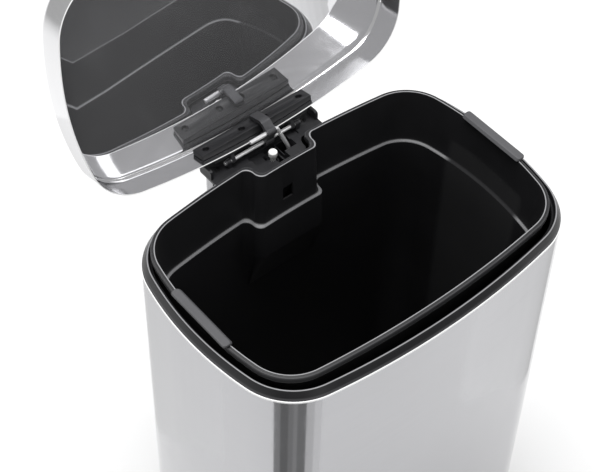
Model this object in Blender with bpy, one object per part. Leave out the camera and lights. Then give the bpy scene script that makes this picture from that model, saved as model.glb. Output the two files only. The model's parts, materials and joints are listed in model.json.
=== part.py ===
"""Pedal trash can: a rounded steel body, a lift-out plastic bucket and a hinged steel lid.

The lid leans back on its stop at rest and the pedal is down. Metres, +Z up. The origin is on the
floor under the middle of the body, and -Y is the front, where the pedal is.
"""
from collections import namedtuple
from math import asin, atan2, cos, hypot, pi, radians, sin, sqrt

import bmesh
import bpy
from mathutils import Matrix, Vector

# ---- body heights -----------------------------------------------------------------------------
STEEL_TOP = 0.600          # top edge of the steel wall
STEEL_BOTTOM = 0.0545
FOOT_HEIGHT = 0.0030
BASE_FLOOR = 0.0033        # underside of the base tray
BASE_SKIN = 0.0030
GAP = 0.0003               # left between pieces that touch
SHEET = 0.0010             # steel sheet thickness

# ---- outlines, seen from above ----------------------------------------------------------------
# A rounded rectangle: corner centres at (+-reach_x, +-reach_y), long and short sides that bow out.
Outline = namedtuple("Outline", "reach_x reach_y bow_long bow_short radius centre_y")
BODY = Outline(0.1290, 0.0616, 0.0107, 0.0066, 0.0694, 0.0)
BUCKET = Outline(0.1324, 0.0655, 0.0085, 0.0066, 0.0480, 0.0035)
LID = Outline(0.1346, 0.0612, 0.0117, 0.0076, 0.0605, 0.0019)

# ---- lid and hinge ----------------------------------------------------------------------------
HINGE_Y = 0.1455
HINGE_Z = STEEL_TOP + 0.0140
LID_OPEN = radians(103)    # from closed to leaning back on its stop
LIP_Z = STEEL_TOP + 0.0110  # lid's lower edge when closed
LID_HEIGHT = 0.0340
LID_EDGE_RADIUS = 0.0080
INNER_PLATE_RISE = 0.0305  # inner plate above the lid's lower edge
LID_BACK_Y = LID.centre_y + LID.reach_y + LID.bow_long + LID.radius
PIN_RADIUS = 0.0020
PIN_HALF = 0.0490
RUNNING = 0.00012          # radial running clearance of a pin in its holes
LID_EAR = (0.0365, 0.0408)
HOUSING_EAR = (0.0420, 0.0465)
BLOCK_HALF = 0.0705        # hinge block inside the lid
BLOCK_FACE_Y = LID_BACK_Y - 0.0098
BLOCK_LOW = LIP_Z + 0.0070
BLOCK_HIGH = LIP_Z + 0.0240
BLOCK_SCREW_X = (-0.0602, -0.0146, 0.0146, 0.0602)
BLOCK_SCREW_Z = LIP_Z + 0.0150
EAR_RADIUS = 0.0033        # round ends of the ears about the pin
ARM = (0.0010, 0.0120)     # lifter arm, from and to along the hinge
LEVER_PIN_OFFSET = (-0.0140, -0.0075)  # from the hinge axis, lid closed
LEVER_PIN_RADIUS = 0.0024
LEVER_PIN = (-0.0195, 0.0150)          # from its free end to where it bends down to the rod
HOOK_DROP = (0.0024, -0.0014, -0.0066)  # from the bend to the hook's tip, lid open
HOOK_TO_ROD = 0.0005                   # the link is open here

# ---- hinge housing ----------------------------------------------------------------------------
HOUSING_TOP = STEEL_TOP + 0.0080
HOUSING_HALF = 0.0700
HOUSING_BACK = 0.1640
HOUSING_BOTTOM = STEEL_TOP - 0.0600
SADDLE_BOTTOM = STEEL_TOP - 0.0200     # the part that reaches over the steel wall
CAP_THICKNESS = 0.0030                 # the housing's top, which covers the rear channel's end
CHEEK_TOP = STEEL_TOP + 0.0182         # upright walls at the housing's ends
SPINE_HALF = 0.0690
SPINE_BACK = 0.1552
NOTCH_DEPTH = 0.0200                   # bucket wall steps in round the housing
NOTCH_FLAT = {-1: 0.0270, 1: 0.0340}   # half width of the notch's flat middle, to the left and right
NOTCH_END = {-1: 0.0450, 1: 0.0490}    # where the notch's shoulders end
NOTCH_TO_HOUSING = 0.0065              # shoulders of the housing stand this far inside the notch's
DAMPER_X = 0.0024
DAMPER_Y = 0.1318

# ---- pedal linkage ----------------------------------------------------------------------------
PIVOT_Y = 0.0200
PIVOT_Z = 0.0300
AXLE_RADIUS = 0.0030
ROD_X = 0.0258
ROD_Y = 0.1345
ROD_RADIUS = 0.0019
ROD_HEAD_RADIUS = 0.0023               # the rod is thicker above the steel wall
ROD_LIFT = 0.0225
PEDAL_SWING = ROD_LIFT / (ROD_Y - PIVOT_Y)
PEDAL_DOWN = PEDAL_SWING / 2           # tilt of the lever while the pedal is pressed

# ---- finishes: colour, roughness, metallic ----------------------------------------------------
FINISHES = {
    "brushed_steel": ((0.60, 0.60, 0.61), 0.32, 1.0),
    "mirror_steel": ((0.66, 0.66, 0.68), 0.06, 1.0),
    "bright_steel": ((0.75, 0.75, 0.76), 0.20, 1.0),
    "zinc_steel": ((0.50, 0.50, 0.50), 0.40, 1.0),
    "dark_steel": ((0.06, 0.06, 0.065), 0.45, 1.0),
    "black_plastic": ((0.020, 0.020, 0.022), 0.42, 0.0),
    "grey_grip": ((0.10, 0.10, 0.105), 0.55, 0.0),
    "white_plastic": ((0.85, 0.85, 0.84), 0.35, 0.0),
    "rubber": ((0.030, 0.030, 0.030), 0.85, 0.0),
}


def clear_scene():
    """Remove whatever the file holds."""
    for item in list(bpy.data.objects):
        bpy.data.objects.remove(item, do_unlink=True)


def new_collection(name):
    """A collection under the scene's own."""
    collection = bpy.data.collections.new(name)
    bpy.context.scene.collection.children.link(collection)
    return collection


def new_pivot(name, location, tilt=0.0):
    """An empty on a joint's axis, turned about X to the rest pose."""
    pivot = bpy.data.objects.new(name, None)
    pivot.location = location
    pivot.rotation_euler = (tilt, 0, 0)
    PARTS.objects.link(pivot)
    return pivot


def material_for(node, finish):
    """The node's own material in one of the finishes."""
    colour, roughness, metallic = FINISHES[finish]
    material = bpy.data.materials.new(f"{node}_{finish}")
    material.use_nodes = True
    shader = material.node_tree.nodes["Principled BSDF"]
    shader.inputs["Base Color"].default_value = (*colour, 1)
    shader.inputs["Roughness"].default_value = roughness
    shader.inputs["Metallic"].default_value = metallic
    return material


def add_object(name, bm, finish=None, pivot=None, smooth_angle=30):
    """Turn a bmesh into an object; with a pivot, its mesh is measured from the joint's axis."""
    bmesh.ops.recalc_face_normals(bm, faces=bm.faces)
    mesh = bpy.data.meshes.new(name)
    bm.to_mesh(mesh)
    bm.free()
    item = bpy.data.objects.new(name, mesh)
    if pivot is not None:
        mesh.transform(Matrix.Translation(-pivot.location))
        item.parent = pivot
    if finish is None:
        CUTTERS.objects.link(item)
        item.hide_render = True
        item.display_type = "WIRE"
    else:
        PARTS.objects.link(item)
        mesh.materials.append(material_for(name, finish))
        mesh.shade_smooth()
        mesh.set_sharp_from_angle(angle=radians(smooth_angle))
    return item


def combine(item, tool, operation="DIFFERENCE"):
    """Cut a piece with a tool, or join the tool to it."""
    modifier = item.modifiers.new(operation.lower(), "BOOLEAN")
    modifier.operation = operation
    modifier.object = tool
    modifier.solver = "EXACT"
    return item


# ---- shapes -----------------------------------------------------------------------------------
def box_mesh(low, high, bevel=0.0):
    """A box between two corners, with its upright edges rounded if a bevel is given."""
    bm = bmesh.new()
    bmesh.ops.create_cube(bm, size=1)
    size = [b - a for a, b in zip(low, high)]
    centre = [(a + b) / 2 for a, b in zip(low, high)]
    bmesh.ops.scale(bm, vec=size, verts=bm.verts)
    bmesh.ops.translate(bm, vec=centre, verts=bm.verts)
    if bevel:
        upright = [e for e in bm.edges if abs(e.verts[0].co.z - e.verts[1].co.z) > size[2] / 2]
        bmesh.ops.bevel(bm, geom=upright, offset=bevel, segments=3, profile=0.5, affect="EDGES")
    return bm


def cylinder_mesh(radius, start, end, segments=24, end_radius=None):
    """A cylinder or cone between two points."""
    start, end = Vector(start), Vector(end)
    axis = end - start
    turn = axis.to_track_quat("Z", "Y").to_matrix().to_4x4()
    bm = bmesh.new()
    bmesh.ops.create_cone(bm, cap_ends=True, segments=segments, radius1=radius,
                          radius2=radius if end_radius is None else end_radius, depth=axis.length,
                          matrix=Matrix.Translation((start + end) / 2) @ turn)
    return bm


def slab_mesh(points, low, high, axis="Z"):
    """A flat outline given thickness along Z, or along X for an outline of (y, z) points."""
    bm = bmesh.new()
    if axis == "Z":
        corners = [bm.verts.new((x, y, low)) for x, y in points]
        step = (0, 0, high - low)
    else:
        corners = [bm.verts.new((low, y, z)) for y, z in points]
        step = (high - low, 0, 0)
    face = bm.faces.new(corners)
    grown = bmesh.ops.extrude_face_region(bm, geom=[face])["geom"]
    bmesh.ops.translate(bm, vec=step, verts=[v for v in grown if isinstance(v, bmesh.types.BMVert)])
    return bm


def ring_stack_mesh(rings, closed=False):
    """Walls that run from ring to ring; the ends are capped, or joined when closed."""
    bm = bmesh.new()
    ring = [bm.verts.new(point) for point in rings[0]]
    edges = [bm.edges.new((a, b)) for a, b in zip(ring, ring[1:] + ring[:1])]
    first = list(ring)
    if not closed:
        bm.faces.new(ring)
    for points in rings[1:]:
        grown = bmesh.ops.extrude_edge_only(bm, edges=edges)["geom"]
        fresh = {v for v in grown if isinstance(v, bmesh.types.BMVert)}
        edges = [e for e in grown if isinstance(e, bmesh.types.BMEdge)]
        ring = [next(e.other_vert(v) for e in v.link_edges if e.other_vert(v) in fresh) for v in ring]
        for vert, point in zip(ring, points):
            vert.co = point
    if closed:
        pairs = zip(ring, ring[1:] + ring[:1], first, first[1:] + first[:1])
        for a, b, c, d in pairs:
            bm.faces.new((a, b, d, c))
    else:
        bm.faces.new(ring)
    return bm


def tube_mesh(path, radii, segments=14):
    """A round bar along a path, with a radius for each of its points and flat ends."""
    rings = []
    for i, (place, radius) in enumerate(zip(path, radii)):
        along = path[min(i + 1, len(path) - 1)] - path[max(i - 1, 0)]
        turn = along.to_track_quat("Z", "Y").to_matrix()
        angles = [2 * pi * k / segments for k in range(segments)]
        rings.append([place + turn @ Vector((radius * cos(a), radius * sin(a), 0)) for a in angles])
    return ring_stack_mesh(rings)


def arc(centre, radius, start, end, steps):
    """Points on an arc, in degrees, both ends included."""
    angles = [radians(start + (end - start) * i / steps) for i in range(steps + 1)]
    return [(centre[0] + radius * cos(a), centre[1] + radius * sin(a)) for a in angles]


def ribbon(path, half_width, end_steps=6):
    """The outline of a bar of even width along a path, with round ends."""
    left, right = [], []
    for i, (y, z) in enumerate(path):
        before, after = path[max(i - 1, 0)], path[min(i + 1, len(path) - 1)]
        length = hypot(after[0] - before[0], after[1] - before[1])
        along = ((after[0] - before[0]) / length, (after[1] - before[1]) / length)
        left.append((y - along[1] * half_width, z + along[0] * half_width))
        right.append((y + along[1] * half_width, z - along[0] * half_width))

    def cap(end, start_point):
        start = atan2(start_point[1] - end[1], start_point[0] - end[0])
        angles = [start - pi * i / end_steps for i in range(1, end_steps)]
        return [(end[0] + half_width * cos(a), end[1] + half_width * sin(a)) for a in angles]

    return left + cap(path[-1], left[-1]) + right[::-1] + cap(path[0], right[0])


def rounded_path(points, radius, steps=5):
    """A path whose inner corners are turned into arcs."""
    path = [Vector(points[0])]
    for before, corner, after in zip(points, points[1:], points[2:]):
        before, corner, after = Vector(before), Vector(corner), Vector(after)
        start = corner + (before - corner).normalized() * radius
        end = corner + (after - corner).normalized() * radius
        for i in range(steps + 1):
            t = i / steps
            path.append(start * (1 - t) ** 2 + corner * 2 * t * (1 - t) + end * t ** 2)
    return path + [Vector(points[-1])]


def smooth_step(value):
    """0 below 0, 1 above 1, and an S curve between."""
    value = min(max(value, 0.0), 1.0)
    return value * value * (3 - 2 * value)


def notch_step(x, spread):
    """How much of the notch's depth holds at x: 1 in its flat middle, 0 past its shoulders."""
    side = 1 if x > 0 else -1
    across = (NOTCH_END[side] - spread - abs(x)) / (NOTCH_END[side] - NOTCH_FLAT[side])
    reach = min(max(2 * across - 1, -1.0), 1.0)
    drop = sqrt(max(1 - (1 - abs(reach)) ** 2, 0.0))
    return 0.5 + 0.5 * (drop if reach > 0 else -drop)


def shoulder_positions(side, shift, steps=4):
    """Where the points of one of the notch's shoulders stand, from its end inwards: two quarter arcs."""
    half_width = (NOTCH_END[side] - NOTCH_FLAT[side]) / 2
    first = [sin(pi / 2 * i / steps) for i in range(steps + 1)]
    second = [2 - sin(pi / 2 * (steps - i) / steps) for i in range(1, steps + 1)]
    return [NOTCH_END[side] - shift - half_width * t for t in first + second]


def long_side_positions(end_x, shoulder_shift, notched_side):
    """Where the points of half a long side stand, from its end to near its middle."""
    if not notched_side:
        return [end_x * (1 - i / 5) for i in range(5)]
    outside = [end_x - (end_x - 0.058) * i / 3 for i in range(3)]
    return outside + shoulder_positions(notched_side, shoulder_shift) + [NOTCH_FLAT[notched_side] / 2]


def quarter_points(shape, radius, shoulder_shift, notched_side, side_steps=3, corner_steps=6):
    """A quarter of the outline, from the middle of the right side to just short of the rear middle."""
    long_radius = (shape.reach_x ** 2 + shape.bow_long ** 2) / (2 * shape.bow_long)
    short_radius = (shape.reach_y ** 2 + shape.bow_short ** 2) / (2 * shape.bow_short)
    long_half = asin(shape.reach_x / long_radius)
    short_half = asin(shape.reach_y / short_radius)
    short_middle = shape.reach_x + shape.bow_short - short_radius
    long_middle = shape.reach_y + shape.bow_long - long_radius
    points = []
    for i in range(side_steps):
        a = short_half * i / side_steps
        points.append((short_middle + (short_radius + radius) * cos(a), (short_radius + radius) * sin(a)))
    for i in range(corner_steps):
        a = short_half + (pi / 2 - long_half - short_half) * i / corner_steps
        points.append((shape.reach_x + radius * cos(a), shape.reach_y + radius * sin(a)))
    for x in long_side_positions((long_radius + radius) * sin(long_half), shoulder_shift, notched_side):
        points.append((x, long_middle + sqrt((long_radius + radius) ** 2 - x ** 2)))
    return points


def outline_points(shape, inset=0.0, notch=None):
    """The outline's points, anticlockwise; with a notch, the rear side steps in by its depth."""
    radius = shape.radius - inset
    shift = -inset
    rear_apex = (0.0, shape.reach_y + shape.bow_long + radius)

    def half(notched):
        right = quarter_points(shape, radius, shift, notched)
        left = quarter_points(shape, radius, shift, -notched)
        return right + [rear_apex] + [(-x, y) for x, y in left[1:]][::-1]

    rear = half(0 if notch is None else 1)
    if notch:
        rear = [(x, y - notch * notch_step(x, shift)) for x, y in rear]
    front = [(-x, -y) for x, y in half(0)]
    return [(x, y + shape.centre_y) for x, y in rear + front]


def ring_at(shape, inset, z, notch=None):
    """One level ring of an outline."""
    return [(x, y, z) for x, y in outline_points(shape, inset, notch)]


# ---- body -------------------------------------------------------------------------------------
def wall_rings(shape, profile):
    """A ring for each (inset, height) of a profile."""
    return [ring_at(shape, inset, z) for inset, z in profile]


def build_body_shell():
    """The wrapped steel wall, open at the top and bottom, cut down at the back for the housing."""
    profile = [(0, STEEL_BOTTOM), (0, STEEL_TOP), (SHEET, STEEL_TOP), (SHEET, STEEL_BOTTOM)]
    shell = add_object("body_shell", ring_stack_mesh(wall_rings(BODY, profile), closed=True), "brushed_steel")
    saddle = box_mesh((-HOUSING_HALF - 2 * GAP, 0.12, SADDLE_BOTTOM - GAP),
                      (HOUSING_HALF + 2 * GAP, 0.17, STEEL_TOP + 0.03))
    combine(shell, add_object("shell_saddle_cut", saddle))
    return shell


def build_top_rim():
    """The black ring inside the steel edge: an outer slope, a raised bead and an inner ledge."""
    heights = [(0.0013, -0.0100), (0.0013, 0.0004), (0.0048, 0.0076), (0.0058, 0.0094), (0.0070, 0.0096),
               (0.0080, 0.0084), (0.0086, 0.0042), (0.0106, 0.0036), (0.0112, 0.0030), (0.0112, -0.0140),
               (0.0096, -0.0140), (0.0096, 0.0016), (0.0070, 0.0018), (0.0052, 0.0036), (0.0031, -0.0006),
               (0.0031, -0.0100)]
    profile = [(inset, STEEL_TOP + z) for inset, z in heights]
    rim = add_object("top_rim", ring_stack_mesh(wall_rings(BODY, profile), closed=True), "black_plastic")
    gap = box_mesh((-HOUSING_HALF - 2 * GAP, 0.11, STEEL_TOP - 0.03),
                   (HOUSING_HALF + 2 * GAP, 0.17, STEEL_TOP + 0.03))
    combine(rim, add_object("rim_housing_cut", gap))
    return rim


def build_bucket():
    """The lift-out bucket: a turned-down lip, a ledge under it and a notch round the housing."""
    fade_top, fade_bottom = -0.1000, -0.1600
    outer = [(0.0100, -0.5350), (0.0052, fade_bottom), (0.0046, fade_top), (0.0040, -0.0548),
             (0.0, -0.0503), (-0.0020, 0.0150), (-0.0034, 0.0152), (-0.0034, 0.0100), (-0.0045, 0.0100),
             (-0.0045, 0.0162), (-0.0039, 0.0172)]
    inner = [(-0.0007, 0.0175), (0.0, 0.0170), (0.0020, -0.0513), (0.0058, -0.0529), (0.0066, fade_top),
             (0.0072, fade_bottom), (0.0120, -0.5330)]
    rings = []
    for inset, z in outer + inner:
        depth = NOTCH_DEPTH * smooth_step((z - fade_bottom) / (fade_top - fade_bottom))
        rings.append(ring_at(BUCKET, inset, STEEL_TOP + z, depth))
    bucket = add_object("inner_bucket", ring_stack_mesh(rings), "black_plastic")
    for side in (-1, 1):
        near, far = 0.1888, 0.1990
        finger = box_mesh((min(side * near, side * far), -0.0380, STEEL_TOP + 0.0050),
                          (max(side * near, side * far), 0.0400, STEEL_TOP + 0.0154))
        combine(bucket, add_object(f"finger_gap_cut_{'left' if side < 0 else 'right'}", finger))
    hole = box_mesh((-0.0060, 0.0950, STEEL_TOP - 0.0340), (0.0065, 0.1200, STEEL_TOP - 0.0165), 0.0015)
    combine(bucket, add_object("bag_tuck_cut", hole))
    return bucket


def build_grips():
    """The two grips that cap the bucket's lip over its finger gaps."""
    low, high = STEEL_TOP + 0.0178, STEEL_TOP + 0.0212
    for side, name in ((-1, "bucket_grip_left"), (1, "bucket_grip_right")):
        xs = sorted((side * 0.1815, side * 0.1930))
        add_object(name, box_mesh((xs[0], -0.0400, low), (xs[1], 0.0430, high), 0.0030), "grey_grip")


def build_base():
    """The base tray, its feet and the screws that hold it to the body."""
    rim_top = STEEL_BOTTOM - GAP
    floor_top = BASE_FLOOR + BASE_SKIN
    profile = [(0.0030, BASE_FLOOR), (0.0, BASE_FLOOR + 0.003), (0.0, rim_top), (0.0014, rim_top),
               (0.0014, rim_top + 0.0120), (0.0034, rim_top + 0.0120), (0.0034, floor_top)]
    tray = add_object("base_tray", ring_stack_mesh(wall_rings(BODY, profile)), "black_plastic")
    slot = box_mesh((-0.0160, -0.1500, 0.0080), (0.0160, -0.1300, 0.0515), 0.0)
    combine(tray, add_object("pedal_slot_cut", slot))
    post_low, post_high = floor_top + GAP, STEEL_TOP - 0.5350 - GAP
    for i, (x, y) in enumerate(((-0.120, -0.065), (0.120, -0.065), (-0.120, 0.065), (0.120, 0.065)), 1):
        add_object(f"bucket_post_{i}", cylinder_mesh(0.0100, (x, y, post_low), (x, y, post_high), 20, 0.0080),
                   "black_plastic")
        foot_x, foot_y = x * 1.22, y * 1.3
        foot = cylinder_mesh(0.0090, (foot_x, foot_y, 0), (foot_x, foot_y, FOOT_HEIGHT), 24, 0.0110)
        add_object(f"rubber_foot_{i}", foot, "rubber")
    for i, (x, y) in enumerate(((-0.060, -0.090), (0.060, -0.090), (-0.060, 0.100), (0.060, 0.100)), 1):
        build_screw(f"base_screw_{i}", (x, y, BASE_FLOOR), (0, 0, 1), tray, 0.0030, 0.0080, "zinc_steel")


def build_screw(name, seat, direction, host, head_radius, length, finish, pivot=None, host_depth=None,
                recess=0.0010):
    """A sunk screw in a hole of its host that it clears all round, with its head a recess deep."""
    seat, direction = Vector(seat), Vector(direction).normalized()
    shank = head_radius * 0.45
    deep = seat + direction * (host_depth or length + 0.002)

    def pin(radius, start, end):
        return cylinder_mesh(radius, start, end, 12)

    hole = add_object(f"{name}_hole", pin(shank + GAP, seat - direction * recess, deep), pivot=pivot)
    sink = add_object(f"{name}_sink", pin(head_radius + GAP, seat - direction * recess,
                                          seat + direction * (0.0016 + GAP)), pivot=pivot)
    combine(host, hole)
    combine(host, sink)
    body = pin(head_radius, seat + direction * 0.0002, seat + direction * 0.0016)
    shaft = pin(shank, seat + direction * 0.0012, seat + direction * length)
    slot_turn = direction.to_track_quat("Z", "Y").to_matrix().to_4x4()
    screw = add_object(name, body, finish, pivot)
    combine(screw, add_object(f"{name}_shaft", shaft, pivot=pivot), "UNION")
    for quarter in range(2):
        drive = box_mesh((-head_radius * 0.6, -0.0003, -0.001), (head_radius * 0.6, 0.0003, 0.0008))
        turn = Matrix.Translation(seat) @ slot_turn @ Matrix.Rotation(quarter * pi / 2, 4, "Z")
        bmesh.ops.transform(drive, matrix=turn, verts=drive.verts)
        combine(screw, add_object(f"{name}_drive_{quarter}", drive, pivot=pivot))
    return screw


def build_rear_spine():
    """The steel channel up the back that covers the body's seam under the housing."""
    half, back, front = SPINE_HALF, SPINE_BACK, 0.1396
    low, high = STEEL_BOTTOM + 0.0060, HOUSING_TOP - CAP_THICKNESS - GAP
    radius = 0.0060
    outer = [(half, front)] + arc((half - radius, back - radius), radius, 0, 90, 5)
    outer += arc((-half + radius, back - radius), radius, 90, 180, 5) + [(-half, front)]
    inner_half, inner_radius = half - SHEET, radius - SHEET
    inner = [(-inner_half, front)] + arc((-half + radius, back - radius), inner_radius, 180, 90, 5)
    inner += arc((half - radius, back - radius), inner_radius, 90, 0, 5) + [(inner_half, front)]
    spine = add_object("rear_spine", slab_mesh(outer + inner, low, high), "brushed_steel")
    for name, z in (("spine_screw_top", SADDLE_BOTTOM - 0.030), ("spine_screw_bottom", low + 0.030)):
        head = cylinder_mesh(0.0040, (0, back + GAP, z), (0, back + 0.0020, z), 20, 0.0026)
        shank = cylinder_mesh(0.0015, (0, back - 0.0060, z), (0, back + 0.0010, z), 16)
        hole = cylinder_mesh(0.0015 + GAP, (0, back - 0.004, z), (0, back + 0.004, z), 16)
        combine(spine, add_object(f"{name}_hole", hole))
        screw = add_object(name, head, "zinc_steel")
        combine(screw, add_object(f"{name}_shank", shank), "UNION")
    return spine


# ---- hinge housing and damper -----------------------------------------------------------------
def housing_front(x, clearance):
    """The housing's front edge at x: it follows the notch in the bucket."""
    wide, narrow = 0.1318, 0.1118
    return wide + clearance - (wide - narrow) * notch_step(x, NOTCH_TO_HOUSING)


def build_housing():
    """The black moulding that carries the hinge and the damper and straddles the steel wall."""
    def half_positions(side):
        return [HOUSING_HALF, 0.0560] + shoulder_positions(side, NOTCH_TO_HOUSING) + [0.010]

    xs = [-x for x in half_positions(-1)] + [0.0] + half_positions(1)[::-1]
    front = [(x, housing_front(x, 0.0)) for x in xs]

    def back_corners(half, back, corner):
        right = arc((half - corner, back - corner), corner, 0, 90, 4)
        return right + [(-x, y) for x, y in right[::-1]]

    cap = slab_mesh(front + back_corners(HOUSING_HALF, HOUSING_BACK, 0.0060), HOUSING_TOP - CAP_THICKNESS,
                    HOUSING_TOP)
    housing = add_object("hinge_housing", cap, "black_plastic")
    inside_half, inside_back = SPINE_HALF - SHEET - GAP, SPINE_BACK - SHEET - GAP
    core_front = [(max(-inside_half, min(inside_half, x)), y) for x, y in front]
    core = slab_mesh(core_front + back_corners(inside_half, inside_back, 0.0050), SADDLE_BOTTOM,
                     HOUSING_TOP - CAP_THICKNESS / 2)
    combine(housing, add_object("housing_core", core), "UNION")
    stem_front = [(x, housing_front(x, 0.0005)) for x in xs if abs(x) < 0.050]
    stem_outline = stem_front + [(0.0430, 0.1388), (-0.0400, 0.1388)]
    stem = slab_mesh(stem_outline, HOUSING_BOTTOM, SADDLE_BOTTOM + 0.010)
    combine(housing, add_object("housing_stem", stem), "UNION")
    for side in (-1, 1):
        near, far = sorted((side * (HOUSING_HALF - 0.0032), side * (HOUSING_HALF - 0.0001)))
        cheek = [(0.1410, HOUSING_TOP - 0.001), (0.1600, HOUSING_TOP - 0.001), (0.1600, CHEEK_TOP - 0.0010)]
        cheek += [(0.1450, CHEEK_TOP), (0.1422, CHEEK_TOP - 0.0008), (0.1410, CHEEK_TOP - 0.0028)]
        name = "left" if side < 0 else "right"
        combine(housing, add_object(f"housing_cheek_{name}", slab_mesh(cheek, near, far, "X")), "UNION")
    for side in (-1, 1):
        near, far = sorted((side * HOUSING_EAR[0], side * HOUSING_EAR[1]))
        ear = arc((HINGE_Y, HINGE_Z), EAR_RADIUS, 0, 180, 10)
        ear += [(HINGE_Y - EAR_RADIUS, HOUSING_TOP - 0.012), (HINGE_Y + EAR_RADIUS, HOUSING_TOP - 0.012)]
        name = "left" if side < 0 else "right"
        combine(housing, add_object(f"housing_ear_{name}", slab_mesh(ear, near, far, "X")), "UNION")
    cuts = {
        # trough under the hinge pin and the lid's ears
        "pin_trough": ((-0.0418, 0.1375, HINGE_Z - 0.0085), (0.0418, 0.1545, HINGE_Z + 0.02)),
        # recess that the lifter arm and its lever pin drop into
        "arm_recess": ((-0.0010, 0.1175, STEEL_TOP - 0.0040), (0.0140, 0.1450, STEEL_TOP + 0.03)),
        # shallower trough for the lever pin
        "lever_pin_trough": ((-0.0215, 0.1270, STEEL_TOP + 0.0012), (0.0300, 0.1450, STEEL_TOP + 0.03)),
        # deep pocket for the damper
        "damper_pocket": ((-0.0060, 0.1225, HOUSING_BOTTOM + 0.0020), (0.0122, 0.1391, STEEL_TOP + 0.02)),
        # slot that the lift rod runs through
        "rod_slot": ((0.0150, 0.1275, HOUSING_BOTTOM - 0.001), (0.0300, 0.1440, STEEL_TOP + 0.02)),
    }
    for name, (low, high) in cuts.items():
        combine(housing, add_object(f"{name}_cut", box_mesh(low, high)))
    for i, x in enumerate((-0.0560, 0.0560), 1):
        build_screw(f"housing_screw_{i}", (x, 0.1490, HOUSING_TOP), (0, 0, -1), housing, 0.0032, 0.0120,
                    "dark_steel")
    bore = cylinder_mesh(PIN_RADIUS + RUNNING, (-0.06, HINGE_Y, HINGE_Z), (0.06, HINGE_Y, HINGE_Z), 28)
    combine(housing, add_object("housing_pin_bore", bore))
    return housing


def build_damper():
    """The closing damper: a cup in the housing's pocket and a white plunger that the arm presses."""
    mouth = STEEL_TOP - 0.0040
    low = HOUSING_BOTTOM + 0.0020 + GAP
    wall = cylinder_mesh(0.0069, (DAMPER_X, DAMPER_Y, low), (DAMPER_X, DAMPER_Y, mouth), 28)
    cup = add_object("damper_body", wall, "black_plastic")
    bore = cylinder_mesh(0.0051, (DAMPER_X, DAMPER_Y, mouth - 0.034), (DAMPER_X, DAMPER_Y, mouth + 0.01), 28)
    combine(cup, add_object("damper_bore", bore))
    top = STEEL_TOP + 0.0115
    stem = [(0.0, -0.030), (0.0030, -0.030), (0.0030, -0.0068), (0.0047, -0.0068), (0.0047, -0.0016),
            (0.0041, -0.0006), (0.0030, 0.0), (0.0, 0.0)]
    bm = bmesh.new()
    verts = [bm.verts.new((DAMPER_X + r, DAMPER_Y, top + z)) for r, z in stem]
    edges = [bm.edges.new((a, b)) for a, b in zip(verts, verts[1:])]
    centre = (DAMPER_X, DAMPER_Y, 0)
    whole = {"angle": 2 * pi, "steps": 24, "use_merge": True}
    bmesh.ops.spin(bm, geom=verts + edges, cent=centre, axis=(0, 0, 1), **whole)
    bmesh.ops.remove_doubles(bm, verts=bm.verts, dist=1e-6)
    add_object("damper_plunger", bm, "white_plastic")


def build_hinge_pin():
    """The hinge pin, with a knurled collar pressed on each end."""
    pin = cylinder_mesh(PIN_RADIUS, (-PIN_HALF, HINGE_Y, HINGE_Z), (PIN_HALF, HINGE_Y, HINGE_Z), 24)
    add_object("hinge_pin", pin, "bright_steel")
    for side, name in ((-1, "pin_clip_left"), (1, "pin_clip_right")):
        start, end = side * (HOUSING_EAR[1] + GAP), side * (PIN_HALF - 0.0004)
        collar = cylinder_mesh(0.0030, (start, HINGE_Y, HINGE_Z), (end, HINGE_Y, HINGE_Z), 20)
        ring = add_object(name, collar, "zinc_steel")
        through = (start - 0.01, HINGE_Y, HINGE_Z), (end + 0.01, HINGE_Y, HINGE_Z)
        bore = cylinder_mesh(PIN_RADIUS + GAP, *through)
        combine(ring, add_object(f"{name}_bore", bore))


# ---- lid, built closed and carried by its pivot -----------------------------------------------
def build_lid_shell(pivot):
    """The drawn steel lid: a straight side wall, a rounded edge and a flat top."""
    steps = [radians(90 * i / 5) for i in range(6)]
    r = LID_EDGE_RADIUS
    outer = [(0.0, 0.0)] + [(r - r * cos(a), LID_HEIGHT - r + r * sin(a)) for a in steps]
    q = r - SHEET
    inner = [(SHEET, 0.0)] + [(r - q * cos(a), LID_HEIGHT - r + q * sin(a)) for a in steps]
    rings = [ring_at(LID, inset, LIP_Z + z) for inset, z in inner[::-1] + outer]
    shell = add_object("lid_shell", ring_stack_mesh(rings), "brushed_steel", pivot)
    notch = box_mesh((ARM[0] - 0.0015, 0.1250, LIP_Z - 0.001), (ARM[1] + 0.0015, 0.1400, LIP_Z + 0.0045))
    combine(shell, add_object("lid_arm_notch", notch, pivot=pivot))
    return shell


def build_lid_plate(pivot):
    """The flat polished plate that closes the lid's inside."""
    low = LIP_Z + INNER_PLATE_RISE
    plate = slab_mesh(outline_points(LID, 0.0038), low, low + 0.0008)
    return add_object("lid_inner_plate", plate, "mirror_steel", pivot)


def build_hinge_block(pivot):
    """The bar screwed inside the lid's rear wall; its back follows the wall."""
    wall_radius = (LID.reach_x ** 2 + LID.bow_long ** 2) / (2 * LID.bow_long) + LID.radius - SHEET
    middle = LID_BACK_Y - SHEET - wall_radius
    steps = 10
    xs = [BLOCK_HALF - 2 * BLOCK_HALF * i / steps for i in range(steps + 1)]
    back = [(x, middle + sqrt(wall_radius ** 2 - x ** 2) - GAP) for x in xs]
    outline = [(-BLOCK_HALF, BLOCK_FACE_Y), (BLOCK_HALF, BLOCK_FACE_Y)] + back
    block = add_object("hinge_block", slab_mesh(outline, BLOCK_LOW, BLOCK_HIGH), "black_plastic", pivot)
    for i, x in enumerate(BLOCK_SCREW_X, 1):
        build_screw(f"lid_screw_{i}", (x, BLOCK_FACE_Y + 0.0030, BLOCK_SCREW_Z), (0, 1, 0), block, 0.0034,
                    0.0028, "dark_steel", pivot, 0.0200, 0.0040)
    return block


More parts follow.
